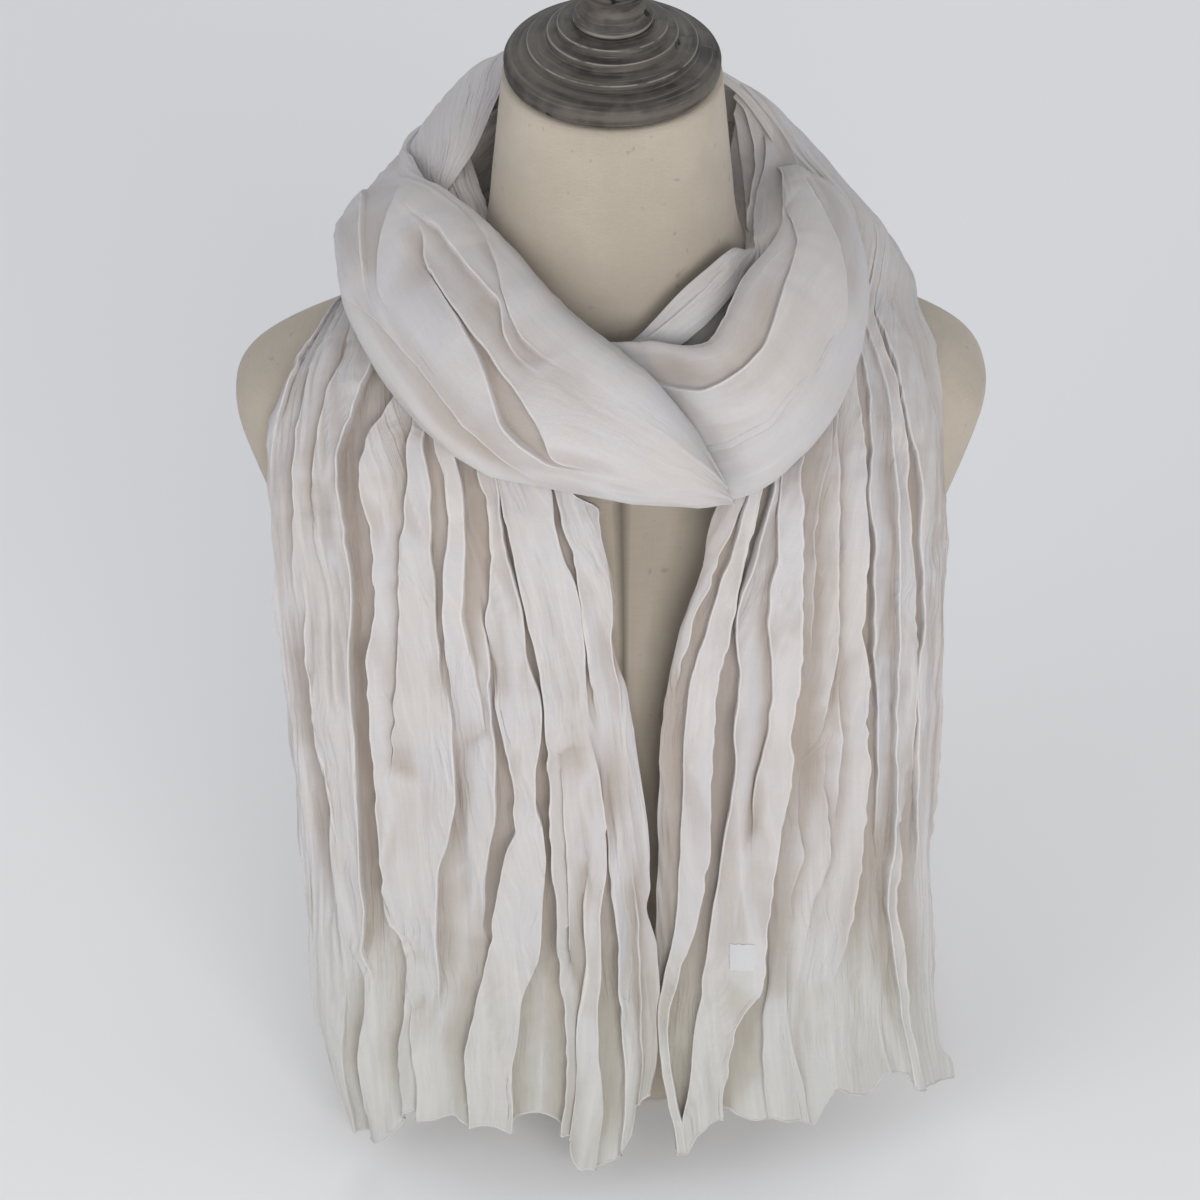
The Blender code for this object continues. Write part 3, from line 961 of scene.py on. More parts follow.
            # Painted shade: how tall the fold is that shades this place, for the painted hollow shade in the finish.
            deep = np.maximum(deep, tall * np.clip(form.shade_hold - away / (form.shade * MM), 0, 1))
        nothing = np.zeros((len(along), 1))
        standing = np.concatenate([nothing, np.clip(heights / (form.full * MM), 0, 1), nothing], axis=1)
        turned = np.concatenate([[0], np.where(sides == 0, 1, sides), [0]])
        into = standing[:, gap] * turned[gap] - standing[:, gap + 1] * turned[gap + 1]
        span = np.maximum((right - left) * widths[:, None], 0.2 * MM)
        bulge = self.belly * MM * np.clip(span / (form.bulge_span * MM), 0, 1.3) * 4 * part * (1 - part)
        relief += bulge * np.where(into > 0, -form.sag * into, -form.arch * into)
        flat_across = across * np.median(widths)
        if self.hem:
            curl = drift(flat_across / (8 * MM), u * length / (60 * MM), 700 + self.crinkle.seed)
            relief += self.frill * MM * ease((u - form.curl_from) / 0.1) * curl
        cloth_x, cloth_y = flat_across * 1.5, u * length
        loose = np.clip(1.3 * smooth_rows(np.asarray(self.gather)[:, None], along) - 0.1, 0.15, 1)
        if self.pressed:
            flat_within, fades_over = 17, 14
            apart = np.linalg.norm(view.project(bare) - self.pressed, axis=-1)
            loose = loose * (0.1 + 0.9 * ease((apart - flat_within) / fades_over))
        small = self.crinkle.relief(cloth_x, cloth_y) * (1 - 0.65 * lipped) * loose
        self.middle = bare + (relief + small)[..., None] * normals + push[..., None] * toward
        self.normals = self.outward(self.middle)
        uv = np.stack([cloth_x, cloth_y], axis=-1)
        # Painted shade: this value darkens the cloth in the hollow beside a tall fold, most where it lies low.
        hollow_shade = np.clip(1 - relief / (0.3 * MM + 0.65 * deep), 0, 1) * np.clip(deep / (6 * MM), 0, 1)
        chosen = drift(gap[None] * 1.37 + 0 * across, station * length / (120 * MM) + gap[None], 600)
        values = {"lip": lipped, "hollow_shade": hollow_shade, "crease": small / MM, "tint": 0.5 + 0.5 * chosen}
        values["fine"] = np.full_like(across, self.fine)
        return uv, values

    def build(self, view: FrontView, finish: Material) -> None:
        """Makes the run's parts and their hem, and logs each part's faces and area.

        Args:
            view: the front view.
            finish: the cloth.
        """
        uv, values = self.shape(view)
        row = 0
        for part in self.parts:
            cut = slice(row, row + part.rows)
            row += part.rows - 1
            piece = MeshWriter.shell(
                "cloth_" + part.name,
                self.middle[cut],
                self.normals[cut],
                self.wall * MM,
                uv[cut],
                {label: numbers[cut] for label, numbers in values.items()},
            )
            piece.data.materials.append(finish)
            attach(piece, "root")
            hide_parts(part.name)
            last = part is self.parts[-1]
            hems = [Hem().build(part.name, self, finish)] if self.hem and last else []
            area = self.area(cut)
            log.info("%s: %d faces, %.4f m2 of %.4f", piece.name, len(piece.data.polygons), area, math.prod(part.flat))

    def area(self, cut: slice) -> float:
        """Adds up the area of some rows of the finished middle grid.

        Args:
            cut: the rows.

        Returns:
            Their area, in square metres.
        """
        down = np.diff(self.middle[cut], axis=0)[:, :-1]
        over = np.diff(self.middle[cut], axis=1)[:-1]
        return float(np.linalg.norm(np.cross(down, over), axis=-1).sum())


# Finishes

Colour = tuple[float, float, float]


class NodeBoard:
    """A node tree being wired."""

    def __init__(self, tree: NodeTree) -> None:
        """Takes the tree to add to."""
        self.tree = tree

    def feed(self, node: Node, inputs: dict[str | int, object]) -> None:
        """Links or sets a node's inputs.

        Args:
            node: the node.
            inputs: a number, colour or another node's socket for each named or numbered input.
        """
        for name, value in inputs.items():
            socket = node.inputs[name]
            if isinstance(value, NodeSocket):
                self.tree.links.new(value, socket)
            elif isinstance(value, tuple) and socket.type == "RGBA":
                socket.default_value = (*value, 1.0)
            else:
                socket.default_value = value

    def add(self, kind: str, inputs: dict[str | int, object] | None = None, **settings: object) -> Node:
        """Adds a node.

        Args:
            kind: the node's type.
            inputs: a number, colour or another node's socket for each input that is fed.
            settings: the node's own properties.

        Returns:
            The node.
        """
        node = self.tree.nodes.new(kind)
        for name, value in settings.items():
            setattr(node, name, value)
        self.feed(node, inputs or {})
        return node

    def maths(self, operation: str, *values: object) -> NodeSocket:
        """A sum, product or other reckoning of up to three values."""
        return self.add("ShaderNodeMath", dict(enumerate(values)), operation=operation).outputs[0]

    def mix(self, factor: object, first: object, second: object, blend: str = "MIX") -> NodeSocket:
        """A colour between two, by a factor from 0 to 1."""
        inputs = {0: factor, 6: first, 7: second}
        return self.add("ShaderNodeMix", inputs, data_type="RGBA", blend_type=blend).outputs[2]

    def grey(self, value: NodeSocket) -> NodeSocket:
        """A grey of the value's brightness."""
        return self.add("ShaderNodeCombineColor", dict.fromkeys(range(3), value)).outputs[0]

    def noise(self, vector: NodeSocket, scale: float, detail: float = 2.0, roughness: float = 0.5) -> NodeSocket:
        """Random hills from 0 to 1."""
        inputs = {"Vector": vector, "Scale": scale, "Detail": detail, "Roughness": roughness}
        return self.add("ShaderNodeTexNoise", inputs, noise_dimensions="3D").outputs["Fac"]

    def stretched(self, vector: NodeSocket, scale: Colour) -> NodeSocket:
        """A place, scaled along each axis."""
        return self.add("ShaderNodeMapping", {"Vector": vector, "Scale": scale}).outputs[0]

    def span(self, value: NodeSocket, low: float, high: float, first: float = 0.0, last: float = 1.0) -> NodeSocket:
        """Carries a value's range from low to high over to first to last, and stops there."""
        inputs = {"Value": value, 1: low, 2: high, 3: first, 4: last}
        return self.add("ShaderNodeMapRange", inputs, clamp=True, interpolation_type="SMOOTHSTEP").outputs[0]

    def number(self, name: str) -> NodeSocket:
        """The piece's own named numbers."""
        return self.add("ShaderNodeAttribute", attribute_name=name).outputs["Fac"]

    def cloth_place(self) -> NodeSocket:
        """The place on the flat cloth, or on the unrolled surface of a turned piece."""
        return self.add("ShaderNodeUVMap", uv_map="flat_cloth").outputs["UV"]

    def space(self) -> NodeSocket:
        """The place in space, in the piece's own coordinates."""
        return self.add("ShaderNodeTexCoord").outputs["Object"]


def open_material(name: str) -> tuple[Material, NodeBoard, Node]:
    """Starts a material made of nodes.

    Args:
        name: the material's name.

    Returns:
        The material, its board and its shader.
    """
    material = bpy.data.materials.new(name)
    material.use_nodes = True
    return material, NodeBoard(material.node_tree), material.node_tree.nodes["Principled BSDF"]


class Groups:
    """Effects that more than one finish uses, each built once."""

    @staticmethod
    def _open(
        name: str, inputs: dict[str, str], outputs: tuple[str, ...]
    ) -> tuple[NodeBoard, bpy_prop_collection, Node]:
        """Opens a new group with its sockets made.

        Args:
            name: the group's name.
            inputs: the type of each named input.
            outputs: names of the outputs, which are numbers.

        Returns:
            The group's board, what is given to it, and the node that its results are fed to.
        """
        tree = bpy.data.node_groups.new(name, "ShaderNodeTree")
        for label, kind in inputs.items():
            tree.interface.new_socket(label, in_out="INPUT", socket_type=kind)
        for label in outputs:
            tree.interface.new_socket(label, in_out="OUTPUT", socket_type="NodeSocketFloat")
        return NodeBoard(tree), tree.nodes.new("NodeGroupInput").outputs, tree.nodes.new("NodeGroupOutput")

    @staticmethod
    @cache
    def weave() -> NodeTree:
        """Plain weave: two crossed sets of threads, each a sine wave broken up by slubs.

        Returns:
            A group of Place, Pitch and Slub that gives Height and Tone.
        """
        sockets = {"Place": "NodeSocketVector", "Pitch": "NodeSocketFloat", "Slub": "NodeSocketFloat"}
        board, given, ending = Groups._open("plain_weave", sockets, ("Height", "Tone"))
        parts = board.add("ShaderNodeSeparateXYZ", {0: given["Place"]}).outputs
        turns = board.maths("DIVIDE", 2 * math.pi, given["Pitch"])
        warp, weft = (board.maths("SINE", board.maths("MULTIPLY", parts[axis], turns)) for axis in range(2))
        fine, slow = 900.0, 45.0
        lengthways = board.noise(board.stretched(given["Place"], (fine, slow, slow)), 1.0, 2.0)
        crossways = board.noise(board.stretched(given["Place"], (slow, fine, slow)), 1.0, 2.0)
        slubs = board.maths("SUBTRACT", board.maths("ADD", lengthways, crossways), 1.0)
        uneven = board.maths("MULTIPLY", slubs, given["Slub"])
        threads = board.maths("MULTIPLY", board.maths("ADD", warp, weft), 0.25)
        tone = board.maths("ADD", 1.0, board.maths("MULTIPLY", uneven, 0.5))
        board.feed(ending, {"Height": board.maths("ADD", threads, uneven), "Tone": tone})
        return board.tree

    @staticmethod
    @cache
    def creases() -> NodeTree:
        """Fine creases lengthways: the crests of drawn-out hills, in two sizes, on a wavering place.

        Returns:
            A group of Place that gives Height, about 0 in the dips and 1.5 on the crests.
        """
        board, given, ending = Groups._open("creases", {"Place": "NodeSocketVector"}, ("Height",))
        slow = board.add("ShaderNodeTexNoise", {"Vector": given["Place"], "Scale": 28.0, "Detail": 1.0})
        bent = slow.outputs["Color"]
        for operation, other in (
            ("SUBTRACT", (0.5, 0.5, 0.5)),
            ("MULTIPLY", (0.016, 0.02, 0.0)),
            ("ADD", given["Place"]),
        ):
            bent = board.add("ShaderNodeVectorMath", {0: bent, 1: other}, operation=operation).outputs[0]
        total: NodeSocket | float = 0.0
        for across, along, power, share in ((95.0, 13.0, 3.0, 1.0), (230.0, 30.0, 3.5, 0.5)):
            hills = board.noise(board.stretched(bent, (across, along, 1.0)), 1.0, 1.0)
            away = board.maths("ABSOLUTE", board.maths("MULTIPLY_ADD", hills, 4.0, -2.0))
            crest = board.maths("POWER", board.maths("SUBTRACT", 1.0, board.maths("MINIMUM", away, 1.0)), power)
            total = board.maths("MULTIPLY_ADD", crest, share, total)
        board.feed(ending, {"Height": total})
        return board.tree

    @staticmethod
    @cache
    def mottle() -> NodeTree:
        """Broad uneven tone: slow hills with faster ones on them.

        Returns:
            A group of Place and Scale that gives Value, from 0 to 1.
        """
        sockets = {"Place": "NodeSocketVector", "Scale": "NodeSocketFloat"}
        board, given, ending = Groups._open("mottle", sockets, ("Value",))
        fast = board.maths("MULTIPLY", given["Scale"], 4.3)
        slow, quick = (
            board.add("ShaderNodeTexNoise", {"Vector": given["Place"], "Scale": scale}).outputs["Fac"]
            for scale in (given["Scale"], fast)
        )
        both = board.maths("MULTIPLY_ADD", quick, 0.35, board.maths("MULTIPLY", slow, 0.65))
        board.feed(ending, {"Value": board.span(both, 0.36, 0.64)})
        return board.tree


@dataclass(frozen=True)
class CrinkledCloth:
    """Ivory cotton linen: cool on its faces, greyer low down, with painted highlight along its lips and warm painted
    shade in its hollows.

    Attributes:
        face: the cloth's cooler tone.
        warm: its warmer tone.
        low: its tone near the hem.
        hollow_shade: the painted shade in a hollow, a warm dark tone.
        low_hollow_shade: the same painted shade near the hem.
        lip: the painted highlight along a lip and on the crests of the fine creases, and the tone of the lengthwise
            streaks.
        pitch: distance between threads, in metres.
        slub: how uneven the threads are.
        patches: how closely the two tones' patches lie.
        lowness: heights between which the low tones fade, in metres.
        shades: strength of the low tone, the streaks, the painted shade in hollows and dips, and the painted lip and
            crest highlight.
        sheen: strength of the soft sheen.
        relief: depth of the finest creases, in metres.
    """

    face: Colour = (0.520, 0.500, 0.508)
    warm: Colour = (0.520, 0.490, 0.472)
    low: Colour = (0.490, 0.492, 0.465)
    hollow_shade: Colour = (0.325, 0.262, 0.212)
    low_hollow_shade: Colour = (0.345, 0.315, 0.250)
    lip: Colour = (0.700, 0.660, 0.615)
    pitch: float = 0.62 * MM
    slub: float = 0.10
    patches: float = 22.0
    lowness: tuple[float, float] = (0.04, 0.27)
    shades: Line = (0.8, 0.55, 0.66, 0.40, 0.45, 0.30)
    sheen: float = 0.2
    relief: float = 1.5 * MM

    def make(self) -> Material:
        """Builds the material: each tone is mixed over the ones before it, by a mask of its own.

        Returns:
            The material.
        """
        material, board, shader = open_material("crinkled_cloth")
        at_low, at_streak, at_hollow_shade, at_dip_shade, at_lip_highlight, at_crest_highlight = self.shades
        place, space, fine = board.cloth_place(), board.space(), board.number("fine")
        weave = board.add(
            "ShaderNodeGroup", {"Place": place, "Pitch": self.pitch, "Slub": self.slub}, node_tree=Groups.weave()
        )
        mottle = board.add("ShaderNodeGroup", {"Place": space, "Scale": self.patches}, node_tree=Groups.mottle())
        creases = board.add("ShaderNodeGroup", {"Place": place}, node_tree=Groups.creases())
        patches = board.maths("ADD", mottle.outputs["Value"], board.number("tint"))
        tone = board.mix(board.span(patches, 0.55, 1.55), self.face, self.warm)
        rise = board.add("ShaderNodeSeparateXYZ", {0: space}).outputs[2]
        lowness = board.span(rise, *self.lowness, 1.0, 0.0)
        tone = board.mix(board.maths("MULTIPLY", lowness, at_low), tone, self.low)
        shade = board.mix(lowness, self.hollow_shade, self.low_hollow_shade)
        streak = board.noise(board.stretched(place, (300.0, 14.0, 1.0)), 1.0, 3.0)
        streak = board.maths("MULTIPLY", board.span(streak, 0.40, 0.75, 0.0, at_streak), fine)
        tone = board.mix(streak, tone, self.lip)
        # Painted shade: the hollow beside a tall fold is darkened towards the warm shade tone.
        tone = board.mix(board.span(board.number("hollow_shade"), 0.05, 0.95, 0.0, at_hollow_shade), tone, shade)
        # Painted shade: the dips between the small creases of the cloth are darkened.
        tone = board.mix(board.span(board.number("crease"), -1.3, 0.1, at_dip_shade, 0.0), tone, shade)
        # Painted highlight: a thin bright line along each standing fold's lip.
        tone = board.mix(board.span(board.number("lip"), 0.25, 1.0, 0.0, at_lip_highlight), tone, self.lip)
        patchy = board.noise(board.stretched(place, (26.0, 9.0, 1.0)), 1.0, 1.0)
        amount = board.maths("MULTIPLY", board.span(patchy, 0.35, 0.65, 0.1, 1.0), fine)
        crest = board.maths("MULTIPLY", creases.outputs["Height"], amount)
        # Painted highlight: the crests of the fine creases are made brighter; the same crests raise the bump.
        tone = board.mix(board.span(crest, 0.45, 1.0, 0.0, at_crest_highlight), tone, self.lip)
        tone = board.mix(1.0, tone, board.grey(weave.outputs["Tone"]), "MULTIPLY")
        slight = board.noise(board.stretched(place, (500.0, 90.0, 1.0)), 1.0, 3.0, 0.6)
        height = board.maths("MULTIPLY_ADD", slight, 0.14, board.maths("MULTIPLY", weave.outputs["Height"], 0.06))
        height = board.maths("ADD", height, crest)
        bump = board.add("ShaderNodeBump", {"Height": height, "Strength": 0.8, "Distance": self.relief})
        board.feed(shader, {"Base Color": tone, "Normal": bump.outputs[0]})
        board.feed(shader, {"Roughness": 0.88, "Specular IOR Level": 0.25})
        board.feed(shader, {"Sheen Weight": self.sheen, "Sheen Roughness": 0.6})
        return material


@dataclass(frozen=True)
class FormLinen:
    """Natural linen stretched over the padded form.

    Attributes:
        light: its lighter tone.
        dark: its darker tone.
        seam: the tone of its seam and specks.
        pitch: distance between threads, in metres.
        slub: how uneven the threads are.
        patches: how closely the two tones' patches lie.
        relief: depth of the weave, in metres.
    """

    light: Colour = (0.500, 0.440, 0.362)
    dark: Colour = (0.440, 0.385, 0.314)
    seam: Colour = (0.20, 0.175, 0.14)
    pitch: float = 0.9 * MM
    slub: float = 0.22
    patches: float = 9.0
    relief: float = 0.25 * MM

    def make(self) -> Material:
        """Builds the material.

        Returns:
            The material.
        """
        material, board, shader = open_material("form_linen")
        place, space = board.cloth_place(), board.space()
        weave = board.add(
            "ShaderNodeGroup", {"Place": place, "Pitch": self.pitch, "Slub": self.slub}, node_tree=Groups.weave()
        )
        mottle = board.add("ShaderNodeGroup", {"Place": space, "Scale": self.patches}, node_tree=Groups.mottle())
        tone = board.mix(mottle.outputs["Value"], self.light, self.dark)
        speck = board.span(board.noise(space, 160.0, 1.0), 0.70, 0.78, 0.0, 0.35)
        tone = board.mix(speck, tone, self.seam)
        tone = board.mix(board.number("seam"), tone, self.seam)
        tone = board.mix(1.0, tone, board.grey(weave.outputs["Tone"]), "MULTIPLY")
        bump = board.add(
            "ShaderNodeBump", {"Height": weave.outputs["Height"], "Strength": 0.4, "Distance": self.relief}
        )
        board.feed(shader, {"Base Color": tone, "Normal": bump.outputs[0]})
        board.feed(shader, {"Roughness": 0.9, "Specular IOR Level": 0.2, "Sheen Weight": 0.15})
        return material


@dataclass(frozen=True)
class WornWood:
    """Dark stained wood, lighter along its turned rings' crests by rubbed wear and painted highlight, with fine turning
    marks and chips.

    Attributes:
        stain: the stain's tone.
        grey: the tone of its clouds and streaks.
        worn_and_lit: the lighter tone of its ring crests, rubbed and painted as highlight, also used for the turning
            marks.
        chip: the tone of its chips.
        patches: how closely the clouds lie.
        relief: depth of the turning marks, in metres.
    """

    stain: Colour = (0.028, 0.023, 0.021)
    grey: Colour = (0.138, 0.122, 0.100)
    worn_and_lit: Colour = (0.270, 0.255, 0.225)
    chip: Colour = (0.010, 0.008, 0.006)
    patches: float = 34.0
    relief: float = 0.3 * MM

    def make(self) -> Material:
        """Builds the material.

        Returns:
            The material.
        """
        material, board, shader = open_material("worn_wood")
        place, space = board.cloth_place(), board.space()
        mottle = board.add("ShaderNodeGroup", {"Place": space, "Scale": self.patches}, node_tree=Groups.mottle())
        turned = board.noise(board.stretched(place, (6.0, 700.0, 1.0)), 1.0, 3.0, 0.6)
        clouds = board.maths("MULTIPLY", mottle.outputs["Value"], 0.55)
        tone = board.mix(clouds, self.stain, self.grey)
        streaks = board.noise(board.stretched(place, (2.5, 130.0, 1.0)), 1.0, 2.0, 0.6)
        tone = board.mix(board.span(streaks, 0.42, 0.68, 0.0, 0.7), tone, self.grey)
        tone = board.mix(board.span(turned, 0.5, 0.8, 0.0, 0.5), tone, self.worn_and_lit)
        # Rubbed wear and painted highlight: the ring crests, by their edge value, turn lighter, broken up by noise.
        worn_and_lit = board.span(board.number("edge"), 0.45, 1.0)
        rubbed_and_lit = board.maths("MULTIPLY", worn_and_lit, board.span(turned, 0.25, 0.55, 0.45, 1.0))
        broken = board.span(board.noise(space, 90.0, 2.0), 0.30, 0.46)
        tone = board.mix(board.maths("MULTIPLY", rubbed_and_lit, broken), tone, self.worn_and_lit)
        chips = board.span(board.noise(space, 75.0, 3.0), 0.70, 0.74)
        tone = board.mix(chips, tone, self.chip)
        height = board.maths("SUBTRACT", turned, board.maths("MULTIPLY", chips, 1.5))
        bump = board.add("ShaderNodeBump", {"Height": height, "Strength": 0.5, "Distance": self.relief})
        board.feed(shader, {"Base Color": tone, "Normal": bump.outputs[0]})
        board.feed(shader, {"Roughness": board.span(turned, 0.3, 0.7, 0.52, 0.72), "Specular IOR Level": 0.4})
        return material


@dataclass(frozen=True)
class LabelTape:
    """Smooth white woven tape, blank.

    Attributes:
        colour: the tape's tone.
        ribbed: its tone between the ribs.
        relief: depth of the ribs, in metres.
    """

    colour: Colour = (0.545, 0.545, 0.555)
    ribbed: Colour = (0.49, 0.49, 0.50)
    relief: float = 0.1 * MM

    def make(self) -> Material:
        """Builds the material.

        Returns:
            The material.
        """
        material, board, shader = open_material("label_tape")
        ribs = board.noise(board.stretched(board.cloth_place(), (250.0, 2600.0, 1.0)), 1.0, 1.0)
        tone = board.mix(board.span(ribs, 0.3, 0.7, 0.0, 0.25), self.colour, self.ribbed)
        bump = board.add("ShaderNodeBump", {"Height": ribs, "Strength": 0.4, "Distance": self.relief})
        board.feed(shader, {"Base Color": tone, "Normal": bump.outputs[0], "Roughness": 0.6})
        return material


@dataclass(frozen=True)
class PlainPaint:
    """A plain matt colour for the studio.

    Attributes:
        name: the material's name.
        colour: of the paint.
    """

    name: str
    colour: Colour

    def make(self) -> Material:
        """Builds the material.

        Returns:
            The material.
        """
        material, board, shader = open_material(self.name)
        board.feed(shader, {"Base Color": self.colour, "Roughness": 0.9})
        return material


# The dress form


@dataclass
class DressForm:
    """The limbless body: rounded sections carried up the form, with a seam down its front.

    Sizes are in millimetres.

    Attributes:
        sections: height, half width, depth to the front, depth to the back, squareness, lean.
        sides: points round.
        rows: points up.
        crowding: how much closer the columns lie at the front.
        edge: how far the lower edge is rounded in.
        foot: height of each ring of that rounding, and its share of the edge.
        base: shares of the underside's rings.
        crown: shares of the top's rings.
        seam_width: half width of the front seam's groove.
        seam_depth: its depth.
        seam_line: half width of the dark line in it.
        seam_top: height at which the groove begins to fade.
        seam_fade: height over which it fades.
    """

    sections: Table = (
        (0, 118, 85, 80, 2.2, 0), (60, 116, 84, 82, 2.2, 0), (140, 124, 92, 88, 2.2, 0),
        (220, 141, 105, 94, 2.2, 0), (290, 157, 114, 98, 2.2, 0), (345, 169, 111, 99, 2.3, 0),
        (390, 184, 98, 94, 2.5, 0), (418, 192, 86, 84, 2.6, 0), (434, 190, 77, 76, 2.5, 0),
        (446, 176, 72, 71, 2.4, 0), (460, 146, 68, 67, 2.2, 0), (474, 113, 65, 65, 2.1, 0),
        (488, 85, 63, 63, 2.0, 0), (502, 69, 61, 61, 2.0, 1), (520, 62.5, 59, 60, 2.0, 2),
        (550, 59, 56, 57, 2.0, 4), (598, 54, 52, 53, 2.0, 5.6),
    )
    sides: int = 180
    rows: int = 150
    crowding: float = 0.72
    edge: float = 2.5
    foot: Table = ((0, 1), (0.4, 0.45), (1.1, 0.15), (1.9, 0.03))
    base: Line = (0.001, 0.25, 0.5, 0.75, 0.92)
    crown: Line = (0.92, 0.7, 0.4, 0.001)
    seam_width: float = 0.9
    seam_depth: float = 0.55
    seam_line: float = 0.55
    seam_top: float = 480.0
    seam_fade: float = 20.0

    def build(self) -> Object:
        """Makes the body.

        Round a section, x is the half width times the cosine and y the depth times the sine, each
        raised to two over the squareness. The columns lie closer at the front, where the seam's
        groove is a bell curve pressed into the surface.

        Returns:
            The body, which replaces its solid.
        """
        table = smooth_rows(self.sections, np.linspace(0, 1, self.rows))
        turn = np.linspace(0, 2 * math.pi, self.sides, endpoint=False)
        turn = turn - math.pi / 2 - self.crowding * np.sin(turn)
        power = (2 / table[:, 4])[:, None]
        cosine, sine = np.cos(turn)[None], np.sin(turn)[None]
        depth = np.where(sine > 0, table[:, 3][:, None], table[:, 2][:, None])
        x = table[:, 1][:, None] * np.sign(cosine) * np.abs(cosine) ** power
        y = depth * np.sign(sine) * np.abs(sine) ** power
        z = table[:, 0][:, None] + y * np.tan(np.radians(table[:, 5]))[:, None]
        groove = self.seam_depth * np.exp(-((x / self.seam_width) ** 2)) * (sine < 0)
        groove = groove * (1 - ease((table[:, 0][:, None] - self.seam_top) / self.seam_fade))
        y = y + groove
        body = np.stack([x, y, z], -1)
        feet = []
        for height, drawn in self.foot:
            ring = body[:1] * (1, 1, 0) + (0, 0, height)
            scale = 1 - self.edge * drawn / np.linalg.norm(ring[..., :2], axis=-1, keepdims=True)
            feet.append(np.concatenate([ring[..., :2] * scale, ring[..., 2:]], -1))
        base = [feet[0] * (part, part, 1) for part in self.base]
        top = body[-1:]
        centre = top.mean(1, keepdims=True)
        crown = [centre + (top - centre) * part for part in self.crown]
        rings = np.concatenate(base + feet + [body[1:]] + crown) * MM
        around = np.linspace(0, 1, self.sides, endpoint=False)[None] + 0 * rings[..., 0]
        uv = np.stack([around * 0.9, np.clip(rings[..., 2], 0, 1)], -1)
        x, y, z = np.moveaxis(rings, -1, 0)
        seam = np.exp(-((x / (self.seam_line * MM)) ** 2)) * (y < 0) * (z < self.seam_top * MM) * (z > MM)
        quads = grid_quads(len(rings), self.sides, closed=True)
        piece = MeshWriter.write("form_body", rings.reshape(-1, 3), quads, uv.reshape(-1, 2), {"seam": seam.ravel()})
        close_ends(piece)
        piece.data.materials.append(FormLinen().make())
        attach(piece, "root")
        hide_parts("form_torso")
        return piece


def close_ends(piece: Object) -> None:
    """Merges a turned piece's poles and turns its faces outwards.

    Args:
        piece: a piece whose first and last rings are almost points.
    """
    merged_within = 2e-5
    mesh = bmesh.new()
    mesh.from_mesh(piece.data)
    bmesh.ops.remove_doubles(mesh, verts=mesh.verts[:], dist=merged_within)
    holes = [edge for edge in mesh.edges if edge.is_boundary]
    if holes:
        bmesh.ops.holes_fill(mesh, edges=holes, sides=0)
    bmesh.ops.recalc_face_normals(mesh, faces=mesh.faces[:])
    mesh.to_mesh(piece.data)
    mesh.free()
    piece.data.polygons.foreach_set("use_smooth", np.ones(len(piece.data.polygons), bool))
    piece.data.update()


@dataclass
class TurnedWood:
    """A turned piece on the neck's leaning axis. Sizes are in millimetres.

    Attributes:
        name: the piece's name.
        node: the solid that it replaces.
        profile: radius, height above the neck, and how much the edge there is rubbed and lit by painted highlight.
        base: height along the axis of the profile's start.
        sides: points round.
        lean: how far the neck's axis leans forwards.
        neck: height of the neck's top.
        step: distance between rings along the profile.
        marks: depth of the turning marks.
        poles: shares of the first ring's size that close the underside.
    """

    name: str
    node: str
    profile: Table
    base: float
    sides: int = 160
    lean: float = math.radians(5.6)
    neck: float = 598.0
    step: float = 0.6
    marks: float = 0.12
    poles: Line = (0.001, 0.5)

    def build(self, finish: Material) -> Object:
        """Makes the piece: its profile carried round the axis, with faint turning marks.

        Args:
            finish: the wood.

        Returns:
            The piece, which replaces its solid.
        """
        rows = np.asarray(self.profile, float)
        far = np.concatenate([[0], np.cumsum(np.hypot(*np.diff(rows[:, :2], axis=0).T))])
        steps = np.unique(np.concatenate([np.arange(0, far[-1], self.step), far]))
        radius, height, worn_and_lit = (np.interp(steps, far, rows[:, column]) for column in range(3))
        blur = np.hanning(5) / np.hanning(5).sum()
        radius, height = (np.convolve(np.pad(line, 2, mode="edge"), blur, mode="valid") for line in (radius, height))
        radius[0], height[0] = rows[0, :2]
        turn = np.linspace(0, 2 * math.pi, self.sides, endpoint=False)
        up, round_it = steps[:, None] / 1.3 + 0 * turn, 3 * np.cos(turn)[None] + 0 * steps[:, None] + 9
        uneven = self.marks * drift(up, round_it, 77)
        size = np.maximum(radius[:, None] + uneven * np.clip(radius[:, None] / 5, 0, 1), 0.02)
        across, rise = size * np.sin(turn)[None], (height[:, None] + 0 * turn) + self.base
        points = np.stack(
            [
                size * np.cos(turn)[None],
                across * math.cos(self.lean) - rise * math.sin(self.lean),
                across * math.sin(self.lean) + rise * math.cos(self.lean) + self.neck,
            ],
            -1,
        )
        centre = points[:1].mean(1, keepdims=True)
        closing = [centre + (points[:1] - centre) * part for part in self.poles]
        points = np.concatenate([*closing, points]) * MM
        steps, worn_and_lit = (np.concatenate([np.zeros(len(closing)), line]) for line in (steps, worn_and_lit))
        around = np.broadcast_to(turn / (2 * math.pi), points.shape[:2])
        uv = np.stack([around, np.broadcast_to((steps * MM)[:, None], points.shape[:2])], -1)
        edge = np.broadcast_to(worn_and_lit[:, None], points.shape[:2])
        quads = grid_quads(len(points), self.sides, closed=True)
        piece = MeshWriter.write(self.name, points.reshape(-1, 3), quads, uv.reshape(-1, 2), {"edge": edge.ravel()})
        close_ends(piece)
        piece.data.materials.append(finish)
        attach(piece, "root")
        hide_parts(self.node)
        return piece


